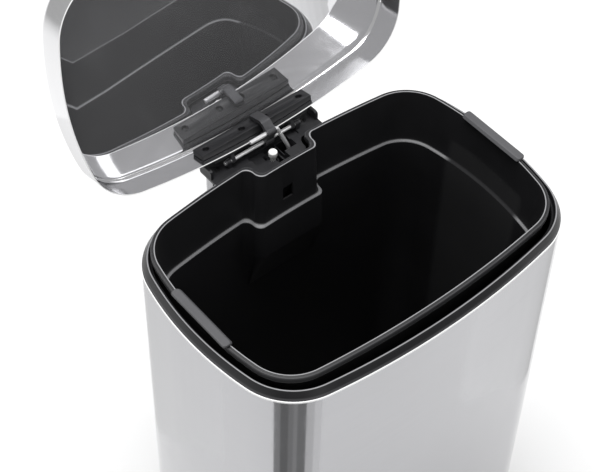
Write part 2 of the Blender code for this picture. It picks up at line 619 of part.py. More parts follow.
def build_hinge_bracket(pivot):
    """The steel bracket behind the lid's wall, with two ears on the hinge pin."""
    front, back = LID_BACK_Y + GAP, LID_BACK_Y + 0.0028
    plate = box_mesh((-0.0600, front, LIP_Z + 0.0020), (0.0600, back, LIP_Z + 0.0240))
    bracket = add_object("hinge_bracket", plate, "zinc_steel", pivot)
    for side, name in ((-1, "left"), (1, "right")):
        near, far = sorted((side * LID_EAR[0], side * LID_EAR[1]))
        ear = arc((HINGE_Y, HINGE_Z), EAR_RADIUS, -90, 90, 8)
        ear += [(back - 0.0010, HINGE_Z + 0.0060), (back - 0.0010, HINGE_Z - 0.0005)]
        combine(bracket, add_object(f"lid_ear_{name}", slab_mesh(ear, near, far, "X"), pivot=pivot), "UNION")
    bore = cylinder_mesh(PIN_RADIUS + RUNNING, (-0.06, HINGE_Y, HINGE_Z), (0.06, HINGE_Y, HINGE_Z), 32)
    combine(bracket, add_object("bracket_pin_bore", bore, pivot=pivot))
    return bracket


def build_lifter_arm(pivot):
    """The bent arm that turns the rod's push into the lid's swing, and its cross pin."""
    lever = (HINGE_Y + LEVER_PIN_OFFSET[0], HINGE_Z + LEVER_PIN_OFFSET[1])
    corners = [(HINGE_Y, HINGE_Z), (lever[0] + 0.001, lever[1] - 0.001),
               (BLOCK_FACE_Y - 0.0042, LIP_Z + 0.002), (BLOCK_FACE_Y - 0.0027, LIP_Z + 0.0200)]
    outline = ribbon([tuple(p) for p in rounded_path(corners, 0.0040)], 0.0024)
    arm = add_object("lifter_arm", slab_mesh(outline, *ARM, "X"), "dark_steel", pivot)
    for name, centre, radius in (("hub", (HINGE_Y, HINGE_Z), 0.0050), ("eye", lever, 0.0046)):
        disc = cylinder_mesh(radius, (ARM[0], *centre), (ARM[1], *centre), 24)
        combine(arm, add_object(f"arm_{name}", disc, pivot=pivot), "UNION")
    holes = (("pin_hole", (HINGE_Y, HINGE_Z), PIN_RADIUS + RUNNING),
             ("eye_hole", lever, LEVER_PIN_RADIUS + GAP))
    for name, centre, radius in holes:
        hole = cylinder_mesh(radius, (ARM[0] - 0.002, *centre), (ARM[1] + 0.002, *centre), 32)
        combine(arm, add_object(f"arm_{name}", hole, pivot=pivot))
    start, bend, tip = hook_points()
    path = rounded_path([start, bend, tip], 0.0024)
    to_pivot = Matrix.Translation(pivot.location)
    close = to_pivot @ Matrix.Rotation(LID_OPEN, 4, "X") @ to_pivot.inverted()
    cross = tube_mesh(path, [LEVER_PIN_RADIUS] * 2 + [ROD_HEAD_RADIUS] * (len(path) - 2))
    bmesh.ops.transform(cross, matrix=close, verts=cross.verts)
    add_object("lever_pin", cross, "bright_steel", pivot)
    return arm


def hook_points():
    """The lever pin's free end, its bend and its tip, with the lid open."""
    opened = Matrix.Rotation(-LID_OPEN, 3, "X") @ Vector((0, *LEVER_PIN_OFFSET))
    y, z = HINGE_Y + opened.y, HINGE_Z + opened.z
    bend = Vector((LEVER_PIN[1], y, z))
    return Vector((LEVER_PIN[0], y, z)), bend, bend + Vector(HOOK_DROP)


# ---- pedal, built level and carried by its pivot ----------------------------------------------
def build_pedal(pivot):
    """The lever under the base, with the pedal at its front and a foot under the rod at its back."""
    half_thick = 0.0018
    outline = [(-0.0120, -0.2000), (0.0120, -0.2000), (0.0120, 0.1240), (0.0330, 0.1240), (0.0330, 0.1370),
               (-0.0120, 0.1370)]
    lever = add_object("pedal_lever", slab_mesh(outline, PIVOT_Z - half_thick, PIVOT_Z + half_thick),
                       "zinc_steel", pivot)
    boss = cylinder_mesh(0.0062, (-0.0120, PIVOT_Y, PIVOT_Z), (0.0120, PIVOT_Y, PIVOT_Z), 24)
    combine(lever, add_object("lever_boss", boss, pivot=pivot), "UNION")
    bore = cylinder_mesh(AXLE_RADIUS + RUNNING, (-0.02, PIVOT_Y, PIVOT_Z), (0.02, PIVOT_Y, PIVOT_Z), 32)
    combine(lever, add_object("lever_bore", bore, pivot=pivot))
    low = PIVOT_Z + half_thick + GAP
    plate = box_mesh((-0.0360, -0.2280, low), (0.0360, -0.1700, low + 0.0020), 0.0080)
    plate_object = add_object("pedal_plate", plate, "brushed_steel", pivot)
    pad_low = low + 0.0020 + GAP
    pad = box_mesh((-0.0320, -0.2240, pad_low), (0.0320, -0.1740, pad_low + 0.0018), 0.0060)
    add_object("pedal_pad", pad, "rubber", pivot)
    for i, y in enumerate((-0.1940, -0.1800), 1):
        rivet = cylinder_mesh(0.0022, (0, y, PIVOT_Z - half_thick - 0.0010), (0, y, low + 0.0016), 16)
        hole_a = cylinder_mesh(0.0022 + GAP, (0, y, PIVOT_Z - 0.01), (0, y, low + 0.0019), 16)
        hole_b = cylinder_mesh(0.0022 + GAP, (0, y, PIVOT_Z - 0.01), (0, y, low + 0.0019), 16)
        combine(lever, add_object(f"rivet_hole_lever_{i}", hole_a, pivot=pivot))
        combine(plate_object, add_object(f"rivet_hole_plate_{i}", hole_b, pivot=pivot))
        add_object(f"pedal_rivet_{i}", rivet, "zinc_steel", pivot)


def build_axle():
    """The lever's axle, the two brackets on the base that carry it and its retaining rings."""
    floor_top = BASE_FLOOR + BASE_SKIN + GAP
    axle = cylinder_mesh(AXLE_RADIUS, (-0.0240, PIVOT_Y, PIVOT_Z), (0.0240, PIVOT_Y, PIVOT_Z))
    add_object("lever_axle", axle, "bright_steel")
    for side, name in ((-1, "left"), (1, "right")):
        near, far = sorted((side * 0.0135, side * 0.0170))
        outline = [(PIVOT_Y - 0.0130, floor_top), (PIVOT_Y + 0.0130, floor_top)]
        outline += arc((PIVOT_Y, PIVOT_Z), 0.0070, 0, 180, 8)
        bracket = add_object(f"axle_bracket_{name}", slab_mesh(outline, near, far, "X"), "black_plastic")
        through = (near - 0.01, PIVOT_Y, PIVOT_Z), (far + 0.01, PIVOT_Y, PIVOT_Z)
        bore = cylinder_mesh(AXLE_RADIUS + GAP, *through, 32)
        combine(bracket, add_object(f"bracket_bore_{name}", bore))
        start, end = side * 0.0182, side * 0.0196
        ring = add_object(f"axle_ring_{name}", cylinder_mesh(0.0054, (start, PIVOT_Y, PIVOT_Z),
                                                             (end, PIVOT_Y, PIVOT_Z)), "zinc_steel")
        through = (start - 0.01, PIVOT_Y, PIVOT_Z), (end + 0.01, PIVOT_Y, PIVOT_Z)
        inside = cylinder_mesh(AXLE_RADIUS + GAP, *through)
        combine(ring, add_object(f"ring_bore_{name}", inside))


def build_lift_rod():
    """The rod from the lever up to the arm, its shoe and the guide that steadies it."""
    lever_top = PIVOT_Z + (ROD_Y - PIVOT_Y) * sin(PEDAL_DOWN) + 0.0018
    shoe_low = lever_top + 0.0014
    tip = hook_points()[2]
    top = tip + Vector(HOOK_DROP).normalized() * HOOK_TO_ROD
    knee = Vector((ROD_X, ROD_Y, STEEL_TOP - 0.001))
    heights = (shoe_low + 0.006, SADDLE_BOTTOM, SADDLE_BOTTOM + 0.002)
    straight = [Vector((ROD_X, ROD_Y, z)) for z in heights]
    points = straight + rounded_path([knee - Vector((0, 0, 0.012)), knee, top], 0.0060)
    radii = [ROD_RADIUS] * 2 + [ROD_HEAD_RADIUS] * (len(points) - 2)
    add_object("lift_rod", tube_mesh(points, radii), "bright_steel")
    shoe = add_object("rod_shoe", box_mesh((ROD_X - 0.0055, ROD_Y - 0.0030, shoe_low),
                                           (ROD_X + 0.0055, ROD_Y + 0.0030, shoe_low + 0.0140), 0.0008),
                      "black_plastic")
    low, high = shoe_low + 0.0055, shoe_low + 0.03
    socket = cylinder_mesh(ROD_RADIUS + GAP, (ROD_X, ROD_Y, low), (ROD_X, ROD_Y, high))
    combine(shoe, add_object("shoe_socket", socket))
    middle = STEEL_TOP * 0.5
    guide = add_object("rod_guide", box_mesh((ROD_X - 0.0080, ROD_Y - 0.0045, middle - 0.010),
                                             (ROD_X + 0.0080, 0.1398, middle + 0.010), 0.0), "black_plastic")
    bore = cylinder_mesh(ROD_RADIUS + GAP, (ROD_X, ROD_Y, middle - 0.02), (ROD_X, ROD_Y, middle + 0.02), 24)
    combine(guide, add_object("guide_bore", bore))


clear_scene()
PARTS = new_collection("pedal_trash_can")
CUTTERS = new_collection("cutters")

build_body_shell()
build_top_rim()
build_bucket()
build_grips()
build_base()
build_rear_spine()
build_housing()
build_damper()
build_hinge_pin()

lid_pivot = new_pivot("lid_pivot", (0, HINGE_Y, HINGE_Z), -LID_OPEN)
build_lid_shell(lid_pivot)
build_lid_plate(lid_pivot)
build_hinge_block(lid_pivot)
build_hinge_bracket(lid_pivot)
build_lifter_arm(lid_pivot)

pedal_pivot = new_pivot("pedal_pivot", (0, PIVOT_Y, PIVOT_Z), PEDAL_DOWN)
build_pedal(pedal_pivot)
build_axle()
build_lift_rod()
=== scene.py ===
"""The finished look of a pedal trash can: steel body and lid, black plastic rim, bucket and hinge.

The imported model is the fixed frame. The large curved walls are built again here with smooth
outlines, and the smaller parts get rounded edges and their finishes.
"""
import json
import logging
from dataclasses import dataclass, field
from enum import Enum
from math import asin, cos, pi, radians, sin, sqrt
from typing import Callable, Iterable, Optional, Sequence

import bmesh
import bpy
from mathutils import Matrix, Vector

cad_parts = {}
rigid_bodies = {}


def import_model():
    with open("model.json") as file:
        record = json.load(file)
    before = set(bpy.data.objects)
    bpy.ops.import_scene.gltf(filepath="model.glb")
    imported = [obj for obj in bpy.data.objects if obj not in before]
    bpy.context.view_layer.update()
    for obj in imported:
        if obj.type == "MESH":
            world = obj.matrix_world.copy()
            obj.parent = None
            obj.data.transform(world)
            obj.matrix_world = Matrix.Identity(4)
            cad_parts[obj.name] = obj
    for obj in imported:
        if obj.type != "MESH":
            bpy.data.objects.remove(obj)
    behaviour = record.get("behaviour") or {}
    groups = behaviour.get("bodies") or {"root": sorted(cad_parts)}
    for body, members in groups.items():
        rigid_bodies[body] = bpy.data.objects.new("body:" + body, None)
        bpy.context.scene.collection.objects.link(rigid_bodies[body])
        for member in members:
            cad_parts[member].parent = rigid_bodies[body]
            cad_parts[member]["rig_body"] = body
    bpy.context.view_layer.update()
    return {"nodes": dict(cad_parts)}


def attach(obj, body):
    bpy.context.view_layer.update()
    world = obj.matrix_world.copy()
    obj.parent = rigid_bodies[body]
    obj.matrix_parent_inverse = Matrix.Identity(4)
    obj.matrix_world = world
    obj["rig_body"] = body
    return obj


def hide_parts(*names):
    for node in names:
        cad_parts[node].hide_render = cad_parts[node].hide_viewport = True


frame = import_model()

NODES = frame["nodes"]
LOG = logging.getLogger("pedal_trash_can")

Point = tuple[float, float, float]
Colour = tuple[float, float, float]
Profile = tuple[tuple[float, float], ...]

# Sizes that several parts share, in metres unless it says otherwise.
STEEL_TOP = 0.600                         # height of the steel wall's upper edge
SADDLE_HALF = 0.0706                      # half the gap at the back that the hinge housing fills
LID_HINGE = (0.1455, STEEL_TOP + 0.0140)  # y and z of the lid's hinge
LID_OPENED = 103.0                        # degrees from closed to open
LID_LIP = STEEL_TOP + 0.0110              # height of the closed lid's lip
WELD = 2e-6                               # points of a CAD node closer than this are one point
FLAT = 0.8                                # degrees below which two CAD faces lie in one plane
CREASE = 32.0                             # degrees above which an edge is sharp

# Noise scales of the finishes, in cycles per metre along each axis.
METAL_DRIFT: Point = (9.0, 9.0, 5.0)
METAL_SMUDGE: Point = (34.0, 34.0, 28.0)
MIRROR_DRIFT: Point = (9.0, 9.0, 9.0)
MIRROR_SMUDGE: Point = (30.0, 30.0, 26.0)
PLASTIC_DRIFT: Point = (22.0, 22.0, 22.0)
PLASTIC_SCRATCH: Point = (60.0, 400.0, 90.0)
STAGE_MOTTLE: Point = (3.0, 3.0, 3.0)


# ---- shader building --------------------------------------------------------------------------
class Wire:
    """A shader socket that takes part in sums, so that maths reads as an expression."""

    def __init__(self, paint: "Paint", socket: bpy.types.NodeSocket) -> None:
        """Hold a socket of a paint's tree."""
        self.paint = paint
        self.socket = socket

    def _maths(self, operation: str, first: object, second: object) -> "Wire":
        """Add one Math node for two values."""
        return self.paint.node("ShaderNodeMath", {"operation": operation},
                               {0: first, 1: second})

    def __add__(self, other: object) -> "Wire":
        """This value plus another."""
        return self._maths("ADD", self, other)

    def __radd__(self, other: object) -> "Wire":
        """Another value plus this one."""
        return self._maths("ADD", other, self)

    def __sub__(self, other: object) -> "Wire":
        """This value less another."""
        return self._maths("SUBTRACT", self, other)

    def __rsub__(self, other: object) -> "Wire":
        """Another value less this one."""
        return self._maths("SUBTRACT", other, self)

    def __mul__(self, other: object) -> "Wire":
        """This value times another."""
        return self._maths("MULTIPLY", self, other)

    def __rmul__(self, other: object) -> "Wire":
        """Another value times this one."""
        return self._maths("MULTIPLY", other, self)

    def over(self, low: float, high: float) -> "Wire":
        """How far this value lies from low to high, as 0 to 1 with soft ends.

        Args:
            low: the value that gives 0.
            high: the value that gives 1.

        Returns:
            The share as a new wire.
        """
        return self.paint.node("ShaderNodeMapRange", {"interpolation_type": "SMOOTHSTEP"},
                               {"Value": self, "From Min": low, "From Max": high})


class Paint:
    """One node material under construction."""

    def __init__(self, name: str) -> None:
        """Start a material that holds one Principled shader.

        Args:
            name: the material's name.
        """
        self.material = bpy.data.materials.new(name)
        self.material.use_nodes = True
        self.tree = self.material.node_tree
        self.shader = self.tree.nodes["Principled BSDF"]
        self.place = self.node("ShaderNodeTexCoord", {}, {}, "Object")

    def feed(self, socket: bpy.types.NodeSocket, value: object) -> None:
        """Give a socket its value.

        Args:
            socket: the socket to fill.
            value: a wire, or a constant. A colour may be given without its alpha.
        """
        if isinstance(value, Wire):
            self.tree.links.new(value.socket, socket)
        elif socket.type == "RGBA" and len(value) == 3:
            socket.default_value = (*value, 1.0)
        else:
            socket.default_value = value

    def node(self, kind: str, settings: dict, inputs: dict, output: object = 0) -> Wire:
        """Add any node.

        Args:
            kind: the node's type name.
            settings: attributes that are set before its sockets are filled.
            inputs: values or wires by socket name or number.
            output: the name or number of the socket to return.

        Returns:
            The chosen output as a wire.
        """
        made = self.tree.nodes.new(kind)
        for key, value in settings.items():
            setattr(made, key, value)
        for key, value in inputs.items():
            self.feed(made.inputs[key], value)
        return Wire(self, made.outputs[output])

    def noise(self, scale: Point, detail: float, roughness: float = 0.5) -> Wire:
        """Noise on the object's coordinates.

        Args:
            scale: cycles per metre along each axis.
            detail: how many finer layers it has.
            roughness: how strong the finer layers are.

        Returns:
            The noise, from 0 to 1.
        """
        stretched = self.node("ShaderNodeMapping", {}, {"Vector": self.place, "Scale": scale})
        return self.node("ShaderNodeTexNoise", {}, {"Vector": stretched, "Scale": 1.0,
                                                    "Detail": detail, "Roughness": roughness})

    def blend(self, share: object, first: object, second: object) -> Wire:
        """A colour between two colours.

        Args:
            share: 0 for the first colour, 1 for the second.
            first: the first colour.
            second: the second colour.

        Returns:
            The mixed colour.
        """
        mix = self.tree.nodes.new("ShaderNodeMix")
        mix.data_type = "RGBA"
        for key, value in ((0, share), (6, first), (7, second)):
            self.feed(mix.inputs[key], value)
        return Wire(self, mix.outputs[2])

    def axis(self, name: str) -> Wire:
        """One of the object's coordinates, by its letter."""
        return self.node("ShaderNodeSeparateXYZ", {}, {0: self.place}, name)

    def size_of(self, value: Wire) -> Wire:
        """A value without its sign."""
        return self.node("ShaderNodeMath", {"operation": "ABSOLUTE"}, {0: value})

    def bump(self, height: Wire, depth: float) -> Wire:
        """A bump normal from a height of 0 to 1 that stands for depth in metres."""
        return self.node("ShaderNodeBump", {}, {"Height": height, "Distance": depth,
                                                "Strength": 1.0})

    def finish(self, **values: object) -> bpy.types.Material:
        """Fill the shader's sockets.

        Args:
            values: a value or wire by socket name, with _ for a space.

        Returns:
            The finished material.
        """
        for key, value in values.items():
            self.feed(self.shader.inputs[key.replace("_", " ")], value)
        return self.material


# ---- finishes ---------------------------------------------------------------------------------
@dataclass(frozen=True)
class Metal:
    """A bare or plated metal with a grain.

    The grain is in cycles per metre, and its lines run along the axes with the fewest. The haze is
    how far the metal is dulled from a pure one, the stain how far its colour drifts, and the spread
    how far its roughness does.
    """

    slot: str
    colour: Colour
    roughness: float
    grain: Point = (6.0, 6.0, 900.0)
    grain_depth: float = 0.000004
    haze: float = 0.0
    stain: float = 0.06
    spread: float = 0.06

    def sheet(self, paint: Paint) -> tuple[Wire, Wire, Wire]:
        """The metal's plain surface.

        Args:
            paint: the material under construction.

        Returns:
            The brushed lines, the drifting colour and the roughness.
        """
        lines = paint.noise(self.grain, 4.0, 0.6)
        drift = paint.noise(METAL_DRIFT, 2.0)
        smudge = paint.noise(METAL_SMUDGE, 4.0, 0.62).over(0.45, 0.75)
        darker = tuple(c * (1 - 2.2 * self.stain) for c in self.colour)
        lighter = tuple(min(c * (1 + self.stain), 1.0) for c in self.colour)
        base = paint.blend(lines * 0.55 + drift * 0.45, darker, lighter)
        rough = lines * self.spread + smudge * self.spread + (self.roughness - self.spread)
        return lines, base, rough

    def make(self) -> bpy.types.Material:
        """Build the material.

        Returns:
            A node material with brushed lines, slow colour drift and faint smudges.
        """
        paint = Paint(self.slot)
        lines, base, rough = self.sheet(paint)
        return paint.finish(Base_Color=base, Metallic=1.0 - self.haze, Roughness=rough,
                            Normal=paint.bump(lines, self.grain_depth))


@dataclass(frozen=True)
class HighlitEdgeMetal(Metal):
    """Sheet metal with a painted highlight along its edge: a near-white, less mirror-like colour
    that stands in for the light the edge reflects.

    The painted highlight lies between two heights in the closed position: full at the height
    `edge`, and none from the height `past`. A sheet that stands opened is turned back about its
    hinge first.
    """

    edge: float = 0.0
    past: float = 0.0
    opened: float = 0.0
    hinge: tuple[float, float] = (0.0, 0.0)
    # painted highlight: its colour, how metallic it is and how much rougher it is
    highlight_colour: Colour = (0.93, 0.93, 0.93)
    highlight_metallic: float = 0.1
    highlight_roughening: float = 0.2

    def closed_height(self, paint: Paint) -> Wire:
        """The height that a point has when the sheet is turned back to closed.

        Args:
            paint: the material under construction.

        Returns:
            The height in metres.
        """
        turn = Matrix.Rotation(self.opened, 3, "X")
        hinge = Vector((0.0, *self.hinge))
        closed = paint.node("ShaderNodeMapping", {},
                            {"Vector": paint.place, "Rotation": (self.opened, 0.0, 0.0),
                             "Location": tuple(hinge - turn @ hinge)})
        return paint.node("ShaderNodeSeparateXYZ", {}, {0: closed}, "Z")

    def make(self) -> bpy.types.Material:
        """Build the metal with its painted edge highlight.

        Returns:
            The node material.
        """
        paint = Paint(self.slot)
        lines, base, rough = self.sheet(paint)
        # painted highlight along the edge: 1 at `edge`, 0 from `past` on
        highlit = self.closed_height(paint).over(self.past, self.edge)
        kept = 1.0 - self.haze
        return paint.finish(Base_Color=paint.blend(highlit, base, self.highlight_colour),
                            Metallic=kept - highlit * (kept - self.highlight_metallic),
                            Roughness=rough + highlit * self.highlight_roughening,
                            Normal=paint.bump(lines, self.grain_depth))


@dataclass(frozen=True)
class LeaningMirror(Metal):
    """A polished sheet that is very slightly dished, so that it mirrors what lies lower.

    The lean is an angle, the dish is how much the lean grows per metre of height, and the foot is
    the height where only the lean is left.
    """

    lean: float = 0.0
    dish: float = 0.0
    foot: float = 0.64

    def make(self) -> bpy.types.Material:
        """Build the polished metal with its lean.

        Returns:
            The node material.
        """
        paint = Paint(self.slot)
        drift = paint.noise(MIRROR_DRIFT, 2.0)
        smudge = paint.noise(MIRROR_SMUDGE, 4.0, 0.62).over(0.5, 0.8)
        own = paint.node("ShaderNodeTexCoord", {}, {}, "Normal")
        drop = paint.axis("Z") * -self.dish + (self.dish * self.foot - sin(self.lean))
        lean = paint.node("ShaderNodeCombineXYZ", {}, {"Z": drop})
        tilted = paint.node("ShaderNodeVectorMath", {"operation": "ADD"}, {0: own, 1: lean})
        unit = paint.node("ShaderNodeVectorMath", {"operation": "NORMALIZE"}, {0: tilted})
        to_world = {"vector_type": "NORMAL", "convert_from": "OBJECT", "convert_to": "WORLD"}
        world = paint.node("ShaderNodeVectorTransform", to_world, {0: unit})
        darker = tuple(c * (1 - self.stain) for c in self.colour)
        return paint.finish(Base_Color=paint.blend(drift, darker, self.colour),
                            Metallic=1.0 - self.haze - smudge * 0.03,
                            Roughness=smudge * self.spread + self.roughness, Normal=world)


@dataclass(frozen=True)
class Plastic:
    """A moulded plastic with a fine cast texture."""

    slot: str
    colour: Colour
    roughness: float
    texture: float = 900.0
    texture_depth: float = 0.00003
    scuff: float = 0.5
    gloss: float = 0.5

    def cast(self, paint: Paint) -> tuple[Wire, Wire, Wire, Wire]:
        """The moulding's plain surface.

        Args:
            paint: the material under construction.

        Returns:
            The pebbled height, the slow drift, the drifting colour and the roughness.
        """
        pebble = paint.noise((self.texture,) * 3, 2.0)
        drift = paint.noise(PLASTIC_DRIFT, 3.0)
        lighter = tuple(c * 1.35 + 0.004 for c in self.colour)
        rough = drift * 0.10 + (self.roughness - 0.06)
        return pebble, drift, paint.blend(drift, self.colour, lighter), rough

    def make(self) -> bpy.types.Material:
        """Build the material.

        Returns:
            A node material with a pebbled surface, slow colour drift and light scuffs.
        """
        paint = Paint(self.slot)
        pebble, _, base, rough = self.cast(paint)
        scratch = paint.noise(PLASTIC_SCRATCH, 5.0, 0.7).over(0.58, 0.80)
        scuffed = tuple(c * 1.8 + 0.012 for c in self.colour)
        return paint.finish(Base_Color=paint.blend(scratch * self.scuff, base, scuffed),
                            Roughness=rough + scratch * 0.12, Specular_IOR_Level=self.gloss,
                            Normal=paint.bump(pebble, self.texture_depth))


@dataclass(frozen=True)
class PaintedHighlightPlastic(Plastic):
    """A black moulding with painted highlights: pale lines along its edges that stand in for the
    light they catch.

    Each edge is the height of its middle, half its width and how strong its painted highlight is.
    Where `kept` isn't 0, the low edge at the right-hand end, this far to either side of the middle,
    has no painted highlight and a rougher surface.
    """

    # where the painted highlights lie, their colour, and the right-hand end that is left without
    # them
    edges: tuple[tuple[float, float, float], ...] = ()
    highlight_tint: Colour = (0.30, 0.30, 0.31)
    kept: float = 0.0

    def painted_highlight_lines(self, paint: Paint, drift: Wire) -> Wire:
        """How far each point is painted with a highlight.

        Args:
            paint: the material under construction.
            drift: a slow noise that makes the painted highlight uneven.

        Returns:
            The painted highlight, from 0 to 1.
        """
        height = paint.axis("Z")
        painted_highlight = None
        for middle, half, share in self.edges:
            off = paint.size_of(height - middle)
            line = off.over(half, half * 0.5) * (drift * 0.4 * share + 0.8 * share)
            painted_highlight = line if painted_highlight is None else painted_highlight + line
        return painted_highlight

    def highlight_gap(self, paint: Paint) -> Wire:
        """Where the right-hand end below the rim is left without painted highlight.

        Args:
            paint: the material under construction.

        Returns:
            1 where the painted highlight is left out, 0 where it is as elsewhere.
        """
        across = paint.size_of(paint.axis("Y"))
        at_end = paint.axis("X").over(0.15, 0.16) * across.over(self.kept * 1.25, self.kept)
        return at_end * paint.axis("Z").over(STEEL_TOP - 0.020, STEEL_TOP - 0.030)

    def make(self) -> bpy.types.Material:
        """Build the plastic, then paint pale highlights along its edges.

        Returns:
            The node material.
        """
        paint = Paint(self.slot)
        pebble, drift, base, rough = self.cast(paint)
        # painted highlights along the edges
        painted_highlight = self.painted_highlight_lines(paint, drift)
        if self.kept:
            highlight_gap = self.highlight_gap(paint)
            painted_highlight = painted_highlight * (1.0 - highlight_gap * 0.95)
            rough = rough + highlight_gap * 0.5
        return paint.finish(Base_Color=paint.blend(painted_highlight, base, self.highlight_tint), Roughness=rough,
                            Specular_IOR_Level=self.gloss,
                            Normal=paint.bump(pebble, self.texture_depth))


class Finish(Enum):
    """Every finish on the can, by the record's material slot."""

    # WALL_STEEL paints a highlight along the steel wall's top edge.
    WALL_STEEL = HighlitEdgeMetal("brushed_steel", (0.46, 0.46, 0.475), 0.13,
                              edge=STEEL_TOP - 0.0016, past=STEEL_TOP - 0.0026)
    BODY_STEEL = Metal("brushed_steel", (0.46, 0.46, 0.475), 0.16)
    # LID_STEEL paints a highlight along the lid's lip.
    LID_STEEL = HighlitEdgeMetal("brushed_steel", (0.84, 0.84, 0.85), 0.16, (5.0, 5.0, 600.0),
                             edge=LID_LIP + 0.0004, past=LID_LIP + 0.0012,
                             opened=radians(LID_OPENED), hinge=LID_HINGE)
    MIRROR = LeaningMirror("mirror_steel", (0.80, 0.80, 0.82), 0.028, haze=0.12, stain=0.02,
                           spread=0.012, lean=radians(3.8), dish=0.45)
    BRIGHT = Metal("bright_steel", (0.92, 0.92, 0.93), 0.20, (1500.0, 60.0, 60.0), haze=0.45)
    ZINC = Metal("zinc_steel", (0.52, 0.52, 0.53), 0.34, (180.0, 180.0, 180.0), 0.000012, 0.1, 0.12)
    DARK = Metal("dark_steel", (0.075, 0.075, 0.080), 0.36, (160.0, 160.0, 160.0), 0.00001, 0.5,
                 0.16)
    HOLE = Metal("dark_steel", (0.012, 0.012, 0.013), 0.50, (160.0, 160.0, 160.0), 0.00001, 0.7,
                 0.16)
    BLACK = Plastic("black_plastic", (0.010, 0.010, 0.011), 0.42, gloss=0.3)
    # RIM: a painted highlight on the bead and a faint painted sheen on the outer slope by the
    # steel.
    RIM = PaintedHighlightPlastic("black_plastic", (0.009, 0.009, 0.010), 0.36, gloss=0.35,
                       highlight_tint=(0.26, 0.26, 0.27), edges=((STEEL_TOP + 0.0098, 0.0007, 1.0),
                                                       (STEEL_TOP + 0.0004, 0.0026, 0.16)))
    # BUCKET: painted highlights on the lip's inner edge and on the ledge.
    BUCKET = PaintedHighlightPlastic("bucket_plastic", (0.010, 0.010, 0.011), 0.44, gloss=0.35, kept=0.047,
                          edges=((STEEL_TOP + 0.0176, 0.0008, 1.0),
                                 (STEEL_TOP - 0.0525, 0.0010, 0.62)))
    # SKIRT: the bucket plastic painted lighter on the lip's outside as painted light, with a
    # painted highlight at its lower edge.
    SKIRT = PaintedHighlightPlastic("bucket_plastic", (0.034, 0.034, 0.036), 0.48, gloss=0.35,
                         highlight_tint=(0.34, 0.34, 0.35), edges=((STEEL_TOP + 0.0101, 0.0007, 0.8),))
    HOUSING = Plastic("housing_plastic", (0.011, 0.011, 0.0125), 0.42, 700.0, scuff=0.7, gloss=0.35)
    GRIP = Plastic("grip_plastic", (0.068, 0.068, 0.072), 0.50, 800.0, gloss=0.3)
    WHITE = Plastic("white_plastic", (0.88, 0.88, 0.87), 0.30, 400.0, 0.00001, scuff=0.0)
    RUBBER = Plastic("rubber", (0.022, 0.022, 0.022), 0.80, 500.0, 0.00008, scuff=1.0, gloss=0.25)

    def material(self) -> bpy.types.Material:
        """The one material of this finish, made when first asked for.

        Returns:
            The material.
        """
        name = f"{self.name.lower()}_finish"
        found = bpy.data.materials.get(name)
        if found is None:
            found = self.value.make()
            found.name = name
        return found


# ---- making pieces ----------------------------------------------------------------------------
def body_of(node: str) -> str:
    """The name of the body that a CAD node rides on."""
    return NODES[node]["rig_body"]


def make_piece(name: str, bm: bmesh.types.BMesh, finish: Finish, nodes: Sequence[str], body: str,
               crease: float = CREASE) -> bpy.types.Object:
    """Turn a bmesh into a finished piece on its body.

    Args:
        name: the piece's name.
        bm: its shape, which is freed.
        finish: its finish.
        nodes: the CAD nodes it stands for.
        body: the body it rides on.
        crease: the angle in degrees above which an edge is shaded sharp.

    Returns:
        The new object.
    """
    mesh = bpy.data.meshes.new(name)
    bm.to_mesh(mesh)
    bm.free()
    piece = bpy.data.objects.new(name, mesh)
    bpy.context.scene.collection.objects.link(piece)
    mesh.materials.append(finish.material())
    mesh.shade_smooth()
    mesh.set_sharp_from_angle(angle=radians(crease))
    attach(piece, body)
    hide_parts(*nodes)
    LOG.info("%s: %d faces on %s", name, len(mesh.polygons), body)
    return piece


def round_edges(piece: bpy.types.Object, width: float) -> None:
    """Round a piece's sharp edges with a Bevel modifier.

    Args:
        piece: the piece.
        width: how far the rounding reaches from an edge, in metres.
    """
    bevel = piece.modifiers.new("round_edges", "BEVEL")
    bevel.width = width
    bevel.segments = 2
    bevel.limit_method = "ANGLE"
    bevel.angle_limit = radians(CREASE)
    bevel.harden_normals = True


def refine(node: str, finish: Finish, edge: float,
           shape: Optional[Callable[[bmesh.types.BMesh], None]] = None) -> None:
    """Stand a copy with rounded edges in for a CAD node.

    Args:
        node: the CAD node.
        finish: its finish.
        edge: how far its sharp edges are rounded, in metres.
        shape: a last change to the copy's mesh, if any.
    """
    bm = bmesh.new()
    bm.from_mesh(NODES[node].data)
    bmesh.ops.remove_doubles(bm, verts=bm.verts, dist=WELD)
    bmesh.ops.dissolve_limit(bm, angle_limit=radians(FLAT), verts=bm.verts, edges=bm.edges)
    bmesh.ops.connect_verts_concave(bm, faces=bm.faces)
    if shape:
        shape(bm)
    piece = make_piece(f"{node}_finished", bm, finish, [node], body_of(node))
    round_edges(piece, edge)


def carve(piece: bpy.types.Object, boxes: Iterable[tuple[Point, Point]],
          pose: Matrix = Matrix()) -> None:
    """Cut boxes out of a piece and keep the result as its mesh.

    Args:
        piece: the piece to cut.
        boxes: low and high corners of each box.
        pose: turns the boxes into the piece's place.
    """
    bm = bmesh.new()
    for low, high in boxes:
        size = [b - a for a, b in zip(low, high)]
        middle = [(a + b) / 2 for a, b in zip(low, high)]
        placed = pose @ Matrix.Translation(middle) @ Matrix.Diagonal((*size, 1.0))
        bmesh.ops.create_cube(bm, size=1.0, matrix=placed)
    mesh = bpy.data.meshes.new("cutter")
    bm.to_mesh(mesh)
    bm.free()
    cutter = bpy.data.objects.new("cutter", mesh)
    bpy.context.scene.collection.objects.link(cutter)
    cut = piece.modifiers.new("cut", "BOOLEAN")
    cut.operation = "DIFFERENCE"
    cut.solver = "EXACT"
    cut.object = cutter
    bpy.context.view_layer.update()
    graph = bpy.context.evaluated_depsgraph_get()
    result = bpy.data.meshes.new_from_object(piece.evaluated_get(graph))
    piece.modifiers.remove(cut)
    old = piece.data
    piece.data = result
    bpy.data.meshes.remove(old)
    bpy.data.objects.remove(cutter)


